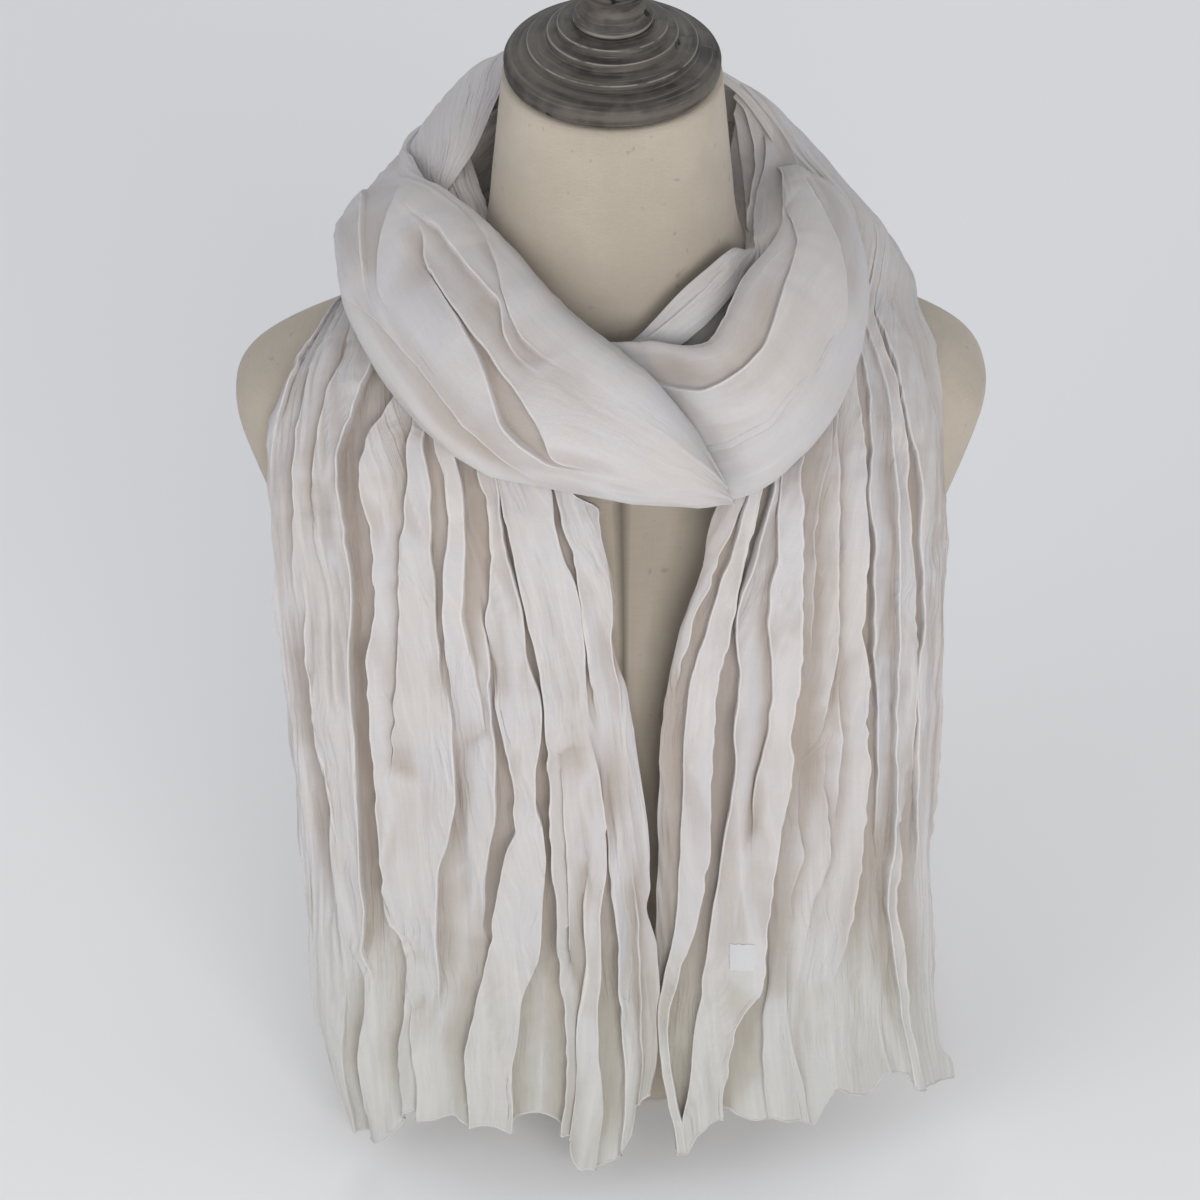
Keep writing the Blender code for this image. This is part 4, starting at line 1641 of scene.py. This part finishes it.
@dataclass
class NeckCap:
    """The wooden cap on the form's neck, and its finial.

    Attributes:
        cap: the cap's profile: radius, height, and the edge's wear and painted highlight.
        finial: the finial's profile, in the same order.
    """

    cap: Table = (
        (46, 0, 0), (50.5, 1.2, 0), (52.4, 3.0, 0.2), (53, 5, 0.5), (53, 9, 0.3), (52.2, 11, 0.5),
        (50.5, 12.5, 0.3), (46, 14.3, 0.1), (42.6, 15.2, 0), (41.9, 15.6, 0), (41.9, 18.2, 0.3),
        (41.6, 18.8, 1), (41.1, 19.0, 0.6), (40.0, 19.2, 0.1), (38.5, 19.6, 0), (33.4, 20.6, 0),
        (32.3, 20.9, 0), (32.3, 23.8, 0.3), (31.9, 24.4, 1), (31.4, 24.6, 0.6), (30.4, 24.7, 0.1),
        (29.5, 24.9, 0), (27.7, 25.3, 0), (27.3, 25.6, 0), (27.2, 28.6, 0.3), (26.9, 29.2, 1),
        (26.4, 29.4, 0.6), (25.4, 29.6, 0.1), (22, 30, 0), (12, 30, 0), (0.02, 30, 0),
    )
    finial: Table = (
        (18.5, 0, 0.2), (19.3, 1.0, 0.8), (19.5, 2, 0.9), (19.2, 3.2, 0.5), (18.5, 4.5, 0.2), (16, 8, 0),
        (15, 13, 0), (16.5, 18, 0), (19, 23, 0.2), (19.5, 28, 0.3), (17.5, 33, 0.3), (12.5, 37, 0.2),
        (6, 39, 0.1), (0.02, 39.6, 0),
    )

    def build(self) -> None:
        """Makes the cap and the finial."""
        wood = WornWood().make()
        TurnedWood("wooden_cap", "neck_cap", self.cap, 0.3).build(wood)
        TurnedWood("wooden_finial", "cap_finial", self.finial, 30.6, sides=120).build(wood)


# The scarf's runs

IN, OUT, BOTH = Drop.INNER, Drop.OUTER, Drop.BOTH

LEFT_RUN = Run(
    sections=(
        (22, 70, 556, 26, 88, 504, 3), (-8, 71, 562, -9, 90, 496, 3), (-38, 66, 556, -44, 79, 488, 2),
        (-63, 49, 545, -79, 59, 475, -2), (-75, 24, 530, -109, 36, 471, -3), (-75, -8, 503, -135, 12, 471, -1),
        (-65, -48, 485, -153, -19, 463, 3), (-50, -86, 468, -168, -42, 447, 8),
        (-28, -117, 437, -177, -68, 411, 12), (-13, -132, 399, -176, -82, 372, 15),
        (-2, -141, 345, -173, -91, 318, 17), (5, -146, 290, -170, -96, 262, 19),
        (11, -149, 225, -168, -99, 200, 19), (16, -150, 160, -169, -100, 138, 19),
        (16, -151, 95, -170, -101, 75, 19), (8, -153, 20, -163, -104, 8, 18),
    ),
    arcs=(48.0, 48.0),
    gather=(0.3, 0.3, 0.3, 0.35, 0.4, 0.5, 0.6, 0.75, 0.95, 1.0, 1.0, 1.0, 1.0, 0.95, 0.85, 0.6),
    folds=(
        SeenFold((598, 500, 605, 548, 611, 600, 612, 650, 618, 690), 5, IN),
        SeenFold((638, 930, 640, 1000, 640, 1060), 3, BOTH),
        SeenFold((609, 850, 612, 900, 619, 950, 621, 1000, 623, 1050, 628, 1100, 629, 1125), 7, OUT),
        SeenFold((601, 780, 604, 850, 605, 878, 599, 920, 598, 1000, 599, 1050, 604, 1110), 7, IN),
        SeenFold((558, 500, 572, 545, 580, 600, 586, 650, 593, 695), 7, OUT),
        SeenFold((549, 490, 552, 525, 562, 560, 577, 595, 582, 630, 583, 670, 586, 700), 7, IN),
        SeenFold((586, 900, 587, 950, 585, 985, 579, 1020, 577, 1050, 573, 1095), 5, OUT),
        SeenFold((563, 780, 566, 830, 568, 880, 570, 945, 567, 975), 5, OUT),
        SeenFold((500, 495, 508, 530, 514, 565, 522, 600, 537, 650, 545, 700, 547, 755, 550, 810, 555, 870,
            560, 945, 561, 1005, 569, 1045, 573, 1060), 9, OUT),
        SeenFold((498, 480, 499, 540, 516, 590, 527, 655, 540, 710, 536, 800, 545, 850, 544, 900, 537, 960,
            523, 1000, 513, 1060), 7, IN),
        SeenFold((499, 715, 508, 748, 514, 800, 517, 835, 505, 862, 498, 900, 489, 945, 478, 985, 469, 1030,
            465, 1060), 8, OUT),
        SeenFold((486, 640, 488, 700, 495, 750, 493, 810, 490, 850, 483, 885, 481, 930), 6, IN),
        SeenFold((479, 480, 486, 510, 493, 550, 488, 590, 485, 630), 6, OUT),
        SeenFold((463, 500, 466, 550, 463, 620, 474, 680, 484, 722), 6, IN),
        SeenFold((448, 490, 446, 560, 445, 620, 447, 660, 451, 700), 6, OUT),
        SeenFold((452, 740, 454, 800, 447, 850, 438, 872, 436, 920, 437, 990, 441, 1020), 6, IN),
        SeenFold((431, 490, 431, 560, 437, 610, 441, 680), 4, IN),
        SeenFold((418, 420, 409, 445, 406, 480, 404, 560, 401, 620, 396, 690, 394, 760), 5, OUT),
        SeenFold((404, 930, 407, 960, 407, 1005, 402, 1040, 398, 1080, 402, 1120), 5, OUT),
        SeenFold((392, 392, 376, 425, 361, 470, 367, 530, 373, 595, 368, 650, 370, 720, 374, 780, 379, 850,
            384, 900, 383, 960), 8, OUT),
        SeenFold((368, 985, 365, 1015, 360, 1050, 364, 1110), 5, OUT),
        SeenFold((372, 365, 352, 405, 335, 450, 333, 480, 342, 530, 349, 600, 349, 660, 352, 720, 357, 800,
            358, 860, 363, 910, 361, 960), 8, IN),
        SeenFold((303, 640, 311, 690, 318, 745, 334, 800, 332, 860, 334, 905, 326, 940, 315, 958), 6, OUT),
        SeenFold((293, 470, 293, 530, 292, 580), 4, OUT),
        SeenFold((343, 1010, 344, 1060, 350, 1110), 4, IN),
        SeenFold((411, 1052, 415, 1080, 418, 1120), 6, OUT),
        SeenFold((314, 300, 300, 350, 283, 400, 272, 440), 4, IN),
        SeenFold((348, 340, 331, 385, 319, 430, 312, 490), 4, OUT),
    ),
    parts=(
        Part("nape_inner", 50, 1 / 3, (0.10, 0.2)),
        Part("tail_left", 180, 1.0, (0.33, 0.50), "hung"),
    ),
    columns=264,
    crinkle=Crinkle(seed=11),
    hem=(
        300, 1000, 331, 1042, 334, 1092, 338, 1112, 345, 1129, 363, 1133, 379, 1138, 399, 1126, 413, 1104,
        425, 1117, 449, 1115, 470, 1124, 491, 1120, 509, 1129, 516, 1113, 534, 1111, 556, 1119, 572, 1135,
        575, 1165, 588, 1179, 599, 1165, 616, 1154, 631, 1133, 634, 1104, 649, 1097, 660, 1092,
    ),
    tucked=0.56,
    edges=(
        (
            598, 498, 601, 537, 612, 579, 617, 617, 613, 632, 619, 663, 627, 690, 638, 760, 647, 819, 652, 890,
            647, 906, 658, 944, 659, 1051, 654, 1086,
        ),
        (
            272, 410, 265, 483, 270, 512, 274, 560, 275, 608, 281, 640, 287, 700, 288, 744, 295, 772, 297, 819,
            306, 897, 310, 961, 313, 1005, 323, 1030, 330, 1060, 340, 1097,
        ),
    ),
    free=0.5,
    start=0.004,
)

RIGHT_RUN = Run(
    sections=(
        (-84, 10, 526, -95, 14, 512, 2), (-67, 28, 545, -102, 36, 506, 11), (-55, 52, 559, -101, 68, 488, 20),
        (-44, 72, 572, -76, 95, 464, 26), (-10, 82, 572, -12, 106, 460, 24), (28, 81, 566, 46, 103, 456, 24),
        (65, 68, 552, 104, 84, 460, 20), (87, 44, 530, 137, 54, 468, 12), (110, 18, 511, 154, 20, 472, 5),
        (100, -16, 493, 157, -4, 463, 2), (75, -54, 480, 164, -30, 450, 5), (62, -90, 456, 168, -55, 426, 7),
        (47, -118, 429, 168, -72, 396, 10), (33, -131, 390, 167, -85, 350, 14),
        (24, -138, 348, 166, -92, 308, 16), (20, -140, 300, 165, -97, 262, 18),
        (20, -141, 235, 165, -99, 205, 18), (20, -142, 165, 168, -100, 145, 18),
        (21, -144, 95, 172, -101, 80, 18), (27, -150, 18, 184, -103, 8, 17),
    ),
    arcs=(80.0, 80.0, 80.0, 80.0, 80.0, 80.0, 80.0, 76.0, 66.0, 54.0, 48.0, 48.0, 48.0, 48.0, 48.0, 48.0, 48.0,
        48.0, 48.0, 48.0),
    gather=(0.03, 0.04, 0.06, 0.08, 0.1, 0.11, 0.13, 0.17, 0.25, 0.36, 0.5, 0.7, 0.9, 1.0, 1.0, 1.0, 1.0, 0.95,
        0.8, 0.55),
    folds=(
        SeenFold((745, 496, 728, 540, 712, 577, 697, 605, 686, 640, 678, 662), 4, OUT),
        SeenFold((752, 490, 738, 545, 720, 585, 708, 625, 700, 654, 688, 690, 683, 732, 682, 800, 681, 840,
            677, 900, 671, 940, 662, 985), 7, IN),
        SeenFold((757, 491, 745, 560, 735, 610, 725, 654, 716, 700, 714, 740, 712, 800, 711, 842, 704, 865,
            700, 915, 689, 950, 675, 990, 664, 1020), 7, OUT),
        SeenFold((777, 480, 764, 530, 752, 570, 742, 600, 738, 650, 738, 700, 734, 730, 736, 780, 728, 830,
            720, 880, 711, 925, 705, 960, 702, 1000, 695, 1040, 691, 1090, 681, 1140), 9, IN),
        SeenFold((779, 490, 779, 555, 771, 590, 768, 630, 775, 660, 774, 705, 764, 745, 755, 790, 752, 830),
            5, IN),
        SeenFold((801, 480, 803, 555, 801, 620, 800, 680, 794, 720, 793, 760, 785, 810, 776, 855, 771, 905,
            766, 955, 760, 995, 743, 1012, 733, 1040, 726, 1075, 721, 1100), 9, OUT),
        SeenFold((836, 311, 837, 360, 839, 420, 842, 480, 840, 540, 838, 600, 837, 654, 829, 700, 822, 740),
            4, OUT),
        SeenFold((793, 800, 800, 830, 804, 856, 795, 880, 789, 900), 3.5, OUT),
        SeenFold((826, 780, 829, 813, 829, 863, 819, 889, 808, 916, 803, 945), 3, OUT),
        SeenFold((838, 690, 842, 745, 838, 795, 829, 835), 2.5, OUT),
        SeenFold((816, 540, 813, 600, 809, 660), 2.5, OUT),
        SeenFold((850, 311, 851, 355, 858, 390, 863, 430, 866, 480, 867, 540, 863, 600, 863, 655, 870, 710,
            872, 760, 867, 820, 863, 870, 853, 915, 843, 950, 832, 982), 7, OUT),
        SeenFold((857, 311, 860, 340, 865, 365, 870, 405, 872, 450, 871, 485, 874, 535, 876, 600, 876, 660,
            879, 732, 878, 800, 875, 840), 6, IN),
        SeenFold((864, 311, 873, 340, 883, 368, 890, 395, 894, 425, 896, 450, 898, 480, 900, 540, 901, 600,
            901, 680, 898, 740, 898, 800, 899, 870, 902, 935, 905, 975, 913, 1015, 926, 1045, 943, 1062),
            6, IN),
        SeenFold((870, 311, 881, 340, 890, 362, 897, 385, 902, 418, 905, 455, 909, 485, 913, 545, 916, 600,
            918, 650, 916, 720, 913, 790), 5, OUT),
        SeenFold((876, 311, 888, 340, 897, 365, 905, 400, 912, 432, 918, 455, 922, 480, 922, 545, 924, 590,
            926, 630, 921, 670, 921, 730, 918, 780, 917, 860), 6, IN),
        SeenFold((880, 869, 887, 913, 896, 956, 898, 989, 895, 1019, 886, 1042, 880, 1075), 6, OUT),
        SeenFold((765, 1010, 762, 1060, 764, 1090), 4, IN),
        SeenFold((786, 1000, 790, 1040, 800, 1075, 808, 1108), 3, OUT),
        SeenFold((886, 300, 900, 325, 915, 350, 926, 380, 934, 420), 2.5, OUT),
    ),
    parts=(
        Part("nape_outer", 100, 9 / 19, (0.17, 0.33)),
        Part("tail_right", 180, 1.0, (0.30, 0.48), "hung"),
    ),
    columns=264,
    crinkle=Crinkle(seed=31),
    hem=(
        655, 1120, 672, 1133, 674, 1145, 690, 1151, 696, 1129, 715, 1115, 731, 1104, 743, 1120, 760, 1117,
        774, 1111, 792, 1119, 817, 1123, 819, 1104, 835, 1086, 853, 1095, 874, 1098, 878, 1079, 881, 1070,
        903, 1070, 914, 1086, 940, 1079, 949, 1076, 953, 1067, 965, 1060,
    ),
    tucked=0.66,
    edges=(
        (
            721, 496, 713, 517, 702, 565, 694, 590, 682, 626, 664, 699, 661, 728, 660, 760, 657, 900, 655, 1000,
            662, 1060, 672, 1120,
        ),
        (
            935, 345, 943, 400, 947, 528, 945, 608, 943, 676, 939, 747, 937, 804, 928, 854, 930, 890, 935, 951,
            933, 1004, 939, 1047, 949, 1062,
        ),
    ),
    free=0.58,
    start=0.004,
    pressed=(745.0, 957.0),
)

COLLAR_RIGHT = Run(
    sections=(
        (-14, -73, 480, -10, -83, 463, 2), (6, -76, 492, 14, -88, 469, 2), (27, -69, 511, 39, -80, 482, 3),
        (44, -57, 520, 58, -63, 492, 3), (57, -42, 522, 71, -46, 503, 2), (65, -22, 508, 82, -26, 521, 1),
        (66, 0, 506, 92, -2, 527, 0), (64, 24, 504, 96, 28, 530, -1), (60, 44, 498, 88, 52, 538, -2),
        (56, 64, 478, 70, 74, 552, -2),
    ),
    arcs=(48.0, 48.0),
    gather=(1.0, 1.0),
    folds=(
        SeenFold((620, 357, 650, 354, 680, 345, 705, 325, 728, 300, 740, 283), 2.2, OUT),
        SeenFold((640, 345, 675, 318, 706, 290, 728, 268), 1.4, IN),
        SeenFold((751, 110, 758, 150, 758, 175, 752, 200, 748, 230), 3.4, IN),
        SeenFold((768, 138, 770, 155, 768, 175, 760, 195, 755, 215, 754, 235, 758, 250), 3.6, IN),
        SeenFold((735, 100, 741, 140, 745, 190, 746, 225), 2.0, IN),
    ),
    parts=(Part("collar_right", 150, 1.0, (0.05, 0.235)),),
    columns=80,
    crinkle=Crinkle(heights=(0.7, 0.4, 0.15), widths=(8.0, 4.0, 2.0), seed=71),
    waver=0.7,
    belly=1.0,
)

COLLAR_LEFT = Run(
    sections=(
        (-71, 42, 541, -90, 24, 534, -4), (-68, 26, 532, -86, 10, 526, -4), (-63, 8, 523, -79, -4, 520, -3),
        (-59, -10, 515, -71, -18, 515, -2), (-55, -27, 510, -62, -32, 512, -1),
        (-49, -45, 506, -51, -46, 508, 0),
    ),
    arcs=(48.0, 48.0),
    gather=(1.3, 1.0, 0.5),
    folds=(
        LaidFold((0.10, 0.14, 0.12, 0.12, 0.15), 1.8, OUT),
        LaidFold((0.24, 0.28, 0.24, 0.28, 0.30), 2.4, IN),
        LaidFold((0.38, 0.36, 0.40, 0.42, 0.43), 1.6, OUT),
        LaidFold((0.52, 0.55, 0.50, 0.54, 0.57), 2.6, OUT),
        LaidFold((0.68, 0.65, 0.70, 0.68, 0.70), 2.0, IN),
        LaidFold((0.84, 0.86, 0.82, 0.86, 0.85), 2.4, OUT),
    ),
    parts=(Part("collar_left", 90, 1.0, (0.026, 0.12)),),
    columns=76,
    crinkle=Crinkle(heights=(1.0, 0.6, 0.3), widths=(5.0, 2.6, 1.4), lengths=(40.0, 24.0, 12.0), seed=81),
    waver=0.9,
    belly=0.3,
)

LOOP_LEFT = Run(
    sections=(
        (-60, 101, 518, -64, 112, 486, 1), (-86, 88, 528, -94, 96, 486, 2), (-100, 62, 527, -115, 66, 492, 4),
        (-98, 34, 533, -129, 34, 497, 8), (-93, 11, 533, -134, 8, 500, 14), (-78, -12, 534, -134, -20, 503, 20),
        (-60, -34, 528, -130, -48, 493, 23), (-42, -61, 522, -112, -82, 475, 25),
        (-23, -91, 512, -83, -115, 456, 25), (-2, -109, 504, -44, -133, 447, 23),
        (15, -120, 494, -5, -141, 441, 19), (32, -131, 473, 30, -142, 439, 13),
        (47, -138, 448, 52, -140, 437, 5),
    ),
    arcs=(50.0, 55.0, 62.0, 76.0, 95.0, 104.0, 104.0, 104.0, 104.0, 104.0, 104.0, 104.0, 104.0),
    gather=(1.0, 1.0),
    folds=(
        SeenFold((485, 235, 498, 264, 503, 292, 509, 312, 521, 336, 537, 350), 2.5, OUT),
        SeenFold((418, 214, 437, 226, 450, 245, 468, 266, 486, 286, 500, 300, 504, 332, 512, 352), 4.0, OUT),
        SeenFold((424, 240, 423, 256, 433, 275, 448, 300, 466, 325, 485, 346, 497, 367, 512, 388, 531, 412,
            546, 438, 554, 462), 5.5, OUT),
        SeenFold((440, 292, 456, 318, 472, 345, 484, 372, 491, 395, 501, 428, 516, 444, 532, 455, 546, 466),
            5.5, IN),
        SeenFold((350, 300, 375, 320, 398, 345, 417, 366, 441, 398, 462, 424, 480, 440, 505, 462, 545, 486),
            2.0, OUT),
        SeenFold((398, 190, 386, 220, 378, 250, 378, 290), 2.5, OUT),
        SeenFold((364, 180, 359, 215, 360, 250, 364, 290), 2.5, IN),
        LaidFold((0.06, 0.05, 0.06, 0.05, 0.06), 2.0, IN, (0.1, 0.8)),
        LaidFold((0.95, 0.94, 0.95, 0.95, 0.95), 3.0, OUT, (0.0, 0.75)),
    ),
    parts=(Part("loop_left", 214, 1.0, (0.148, 0.355), rests_on=("cloth_tail_left", "cloth_nape_outer")),),
    columns=140,
    crinkle=Crinkle(heights=(3.2, 1.5, 0.4), widths=(26.0, 12.0, 5.0), lengths=(80.0, 45.0, 26.0), seed=91),
    belly=1.6,
    waver=0.5,
    fine=0.18,
    fade=0.12,
)

LOOP_RIGHT = Run(
    sections=(
        (-6, -86, 492, 20, -118, 436, 3), (18, -94, 498, 48, -124, 432, 8), (40, -99, 500, 70, -121, 439, 15),
        (51, -91, 508, 91, -106, 452, 20), (62, -71, 519, 107, -83, 467, 22), (78, -48, 524, 117, -51, 484, 22),
        (87, -22, 525, 118, -20, 498, 19), (88, 3, 529, 114, 7, 508, 13), (87, 24, 526, 106, 24, 511, 7),
        (83, 42, 515, 101, 42, 499, 3), (78, 56, 500, 94, 58, 486, 2),
    ),
    arcs=(104.0, 104.0, 104.0, 104.0, 104.0, 104.0, 104.0, 100.0, 85.0, 65.0, 55.0),
    gather=(1.0, 1.0),
    folds=(
        SeenFold((640, 378, 670, 388, 700, 392, 722, 384, 748, 366, 766, 346, 779, 312, 785, 282, 793, 258,
            797, 240, 792, 222, 785, 208), 3.5, IN),
        SeenFold((690, 455, 730, 446, 770, 425, 793, 395), 1.3, OUT),
        SeenFold((805, 178, 822, 208, 838, 242, 845, 290, 846, 320), 2.4, OUT),
        LaidFold((0.06, 0.06, 0.05, 0.06, 0.06), 2.5, IN),
        LaidFold((0.94, 0.94, 0.95, 0.94, 0.94), 3.0, OUT),
    ),
    parts=(Part("loop_right", 180, 1.0, (0.125, 0.24), rests_on=("cloth_tail_right", "cloth_nape_outer")),),
    columns=126,
    crinkle=Crinkle(heights=(3.0, 1.4, 0.4), widths=(24.0, 11.0, 5.0), lengths=(75.0, 45.0, 26.0), seed=101),
    belly=1.6,
    waver=0.5,
    fine=0.18,
    fade=0.12,
)


@dataclass
class Hem:
    """A narrow rolled hem along a tail's end: a thin round roll carried along the last row.

    Attributes:
        radius: of the roll, in metres.
        sides: points round it.
        uneven: how much its thickness varies, as a share.
        point: share of its size to which each end closes.
    """

    radius: float = 0.75 * MM
    sides: int = 8
    uneven: float = 0.22
    point: float = 0.001

    def build(self, name: str, tail: Run, finish: Material) -> Object:
        """Makes the roll.

        Args:
            name: the part that it hems.
            tail: the finished run whose last row it follows.
            finish: the cloth.

        Returns:
            The hem.
        """
        path = tail.middle[-1]
        ahead = unit(np.gradient(path, axis=0))
        out = unit(tail.normals[-1] - (tail.normals[-1] * ahead).sum(-1, keepdims=True) * ahead)
        side = np.cross(ahead, out)
        turn = np.linspace(0, 2 * math.pi, self.sides, endpoint=False)
        far = np.concatenate([[0], np.cumsum(np.linalg.norm(np.diff(path, axis=0), axis=1))])
        size = self.radius * (1 + self.uneven * drift(far / (4 * MM), far * 0, 7))
        ring = np.cos(turn)[None, :, None] * out[:, None] + np.sin(turn)[None, :, None] * side[:, None]
        points = path[:, None] + size[:, None, None] * ring
        first = path[:1, None] + self.point * size[:1, None, None] * ring[:1]
        last = path[-1:, None] + self.point * size[-1:, None, None] * ring[-1:]
        points = np.concatenate([first, points, last])
        grid = points.shape[:2]
        far = np.concatenate([far[:1], far, far[-1:]])
        uv = np.stack([np.broadcast_to(far[:, None], grid), np.broadcast_to(turn * self.radius, grid)], -1)
        # The roll gets a slight painted lip highlight and no painted hollow shade.
        levels = {"lip": 0.5, "hollow_shade": 0.0, "crease": 0.3, "tint": 0.5, "fine": 0.2}
        values = {label: np.full(math.prod(grid), level) for label, level in levels.items()}
        quads = grid_quads(len(points), self.sides, closed=True)
        piece = MeshWriter.write("hem_" + name, points.reshape(-1, 3), quads, uv.reshape(-1, 2), values)
        close_ends(piece)
        piece.data.materials.append(finish)
        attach(piece, "root")
        return piece


@dataclass
class Label:
    """A small blank tape sewn flat on the right tail.

    Attributes:
        corners: the tape's left, right, top and bottom places in the front view.
        wall: thickness of the tape, in millimetres.
        clear: how far its middle lies off the cloth's middle, in millimetres.
        blur: distance over which it follows the cloth, in the front view's units.
        margin: how far round the tape the cloth is looked at, in the same units.
        slant: how much lower its right edge is sewn, in the same units.
        grid: points each way.
    """

    corners: tuple[float, float, float, float] = (729.0, 759.0, 943.0, 969.0)
    wall: float = 0.35
    clear: float = 0.62
    blur: float = 2.0
    margin: float = 8.0
    slant: float = 2.0
    grid: int = 24

    def build(self, tail: Run, view: FrontView) -> Object:
        """Makes the tape: each point is a mean of the tail's points near it, moved out.

        A tail's point counts by a bell of its distance in the front view.

        Args:
            tail: the finished right tail.
            view: the front view.

        Returns:
            The label, which replaces its solid.
        """
        left, right, top, bottom = self.corners
        places = view.project(tail.middle).reshape(-1, 2)
        centre = ((left + right) / 2, (top + bottom) / 2)
        close = (np.abs(places - centre) < (right - left) / 2 + self.margin).all(1)
        flat = places[close]
        cloth = tail.middle.reshape(-1, 3)[close]
        away = tail.normals.reshape(-1, 3)[close]
        steps_down, steps_over = np.linspace(top, bottom, self.grid), np.linspace(left, right, self.grid)
        down, over = np.meshgrid(steps_down, steps_over, indexing="ij")
        down = down + self.slant * (over - left) / (right - left)
        marks = np.stack([over, down], -1).reshape(-1, 2)
        apart = ((flat[None] - marks[:, None]) ** 2).sum(-1)
        weights = np.exp(-apart / (2 * self.blur**2))
        points = weights @ cloth / weights.sum(1, keepdims=True)
        mean = unit(away.mean(0))
        points = (points + self.clear * MM * mean).reshape(self.grid, self.grid, 3)
        turned = grid_normals(points)
        turned = turned * math.copysign(1.0, float((turned * mean).sum()))
        width, height = (np.linalg.norm(points[end] - points[0, 0]) for end in ((0, -1), (-1, 0)))
        across, along = np.meshgrid(np.linspace(0, width, self.grid), np.linspace(0, height, self.grid))
        piece = MeshWriter.shell("label_tape", points, turned, self.wall * MM, np.stack([across, along], -1), {})
        piece.data.materials.append(LabelTape().make())
        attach(piece, "root")
        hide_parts("label")
        return piece


@dataclass
class Scarf:
    """The whole scarf: its runs, hems and label.

    Attributes:
        runs: the runs of cloth, in the order in which they are laid.
    """

    runs: tuple[Run, ...] = (LEFT_RUN, RIGHT_RUN, COLLAR_RIGHT, COLLAR_LEFT, LOOP_LEFT, LOOP_RIGHT)

    def build(self, view: FrontView) -> None:
        """Makes every piece.

        Args:
            view: the front view that the folds are placed from.
        """
        cloth = CrinkledCloth().make()
        for run in self.runs:
            run.build(view, cloth)
        Label().build(RIGHT_RUN, view)


# The studio


@dataclass(frozen=True)
class SoftLight:
    """A large soft light.

    Attributes:
        name: the light's name.
        place: where it hangs, in metres.
        size: its sides, in metres.
        power: in watts.
        colour: of the light.
        aim: the point that it is turned to, in metres.
    """

    name: str
    place: tuple[float, float, float]
    size: tuple[float, float]
    power: float
    colour: Colour = (1.0, 1.0, 1.0)
    aim: tuple[float, float, float] = (0.0, 0.0, 0.35)

    def build(self) -> None:
        """Hangs the light, turned to its aim."""
        data = bpy.data.lights.new(self.name, "AREA")
        data.shape = "RECTANGLE"
        data.size, data.size_y = self.size
        data.energy = self.power
        data.color = self.colour
        light = bpy.data.objects.new(self.name, data)
        light.location = self.place
        light.rotation_euler = (Vector(self.aim) - Vector(self.place)).to_track_quat("-Z", "Y").to_euler()
        bpy.context.scene.collection.objects.link(light)


@dataclass
class Studio:
    """A pale floor, soft lights and a plain bright surround.

    Attributes:
        lights: the soft lights.
        surround: colour of the surround.
        brightness: of the surround.
        floor: colour of the floor.
        reach: half the floor's side, in metres.
        below: how far the floor lies under the form, in metres.
    """

    lights: tuple[SoftLight, ...] = (
        SoftLight("key_light", (0.45, -2.6, 1.15), (1.5, 1.2), 38.5, (1.0, 0.985, 0.97)),
        SoftLight("fill_light", (-1.9, -1.4, 1.4), (1.6, 1.6), 13.0, (0.96, 0.98, 1.0)),
        SoftLight("back_light", (0.2, 2.2, 2.0), (1.8, 1.2), 12.0, (0.97, 0.985, 1.0)),
    )
    surround: Colour = (0.93, 0.95, 1.0)
    brightness: float = 0.53
    floor: Colour = (0.86, 0.86, 0.86)
    reach: float = 30.0
    below: float = 0.0002

    def build(self) -> None:
        """Makes the floor, the lights and the surround."""
        corners = np.array([(-1, -1, 0), (1, -1, 0), (1, 1, 0), (-1, 1, 0)], float)
        points = corners * self.reach - (0, 0, self.below)
        floor = MeshWriter.write("pale_floor", points, np.array([[0, 1, 2, 3]]))
        floor.data.materials.append(PlainPaint("pale_floor", self.floor).make())
        for light in self.lights:
            light.build()
        world = bpy.data.worlds.new("surround")
        world.use_nodes = True
        sky = world.node_tree.nodes["Background"]
        sky.inputs["Color"].default_value = (*self.surround, 1.0)
        sky.inputs["Strength"].default_value = self.brightness
        bpy.context.scene.world = world
        bpy.context.scene.view_settings.view_transform = "Standard"


def main() -> None:
    """Builds the form, the scarf and the studio, and notes the sizes."""
    logging.basicConfig(level=logging.INFO, format="%(message)s")
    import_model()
    view = FrontView()
    view.add_camera()
    DressForm().build()
    log.info("form_body built")
    NeckCap().build()
    log.info("neck cap built")
    Scarf().build(view)
    Studio().build()


if __name__ == "__main__":
    main()
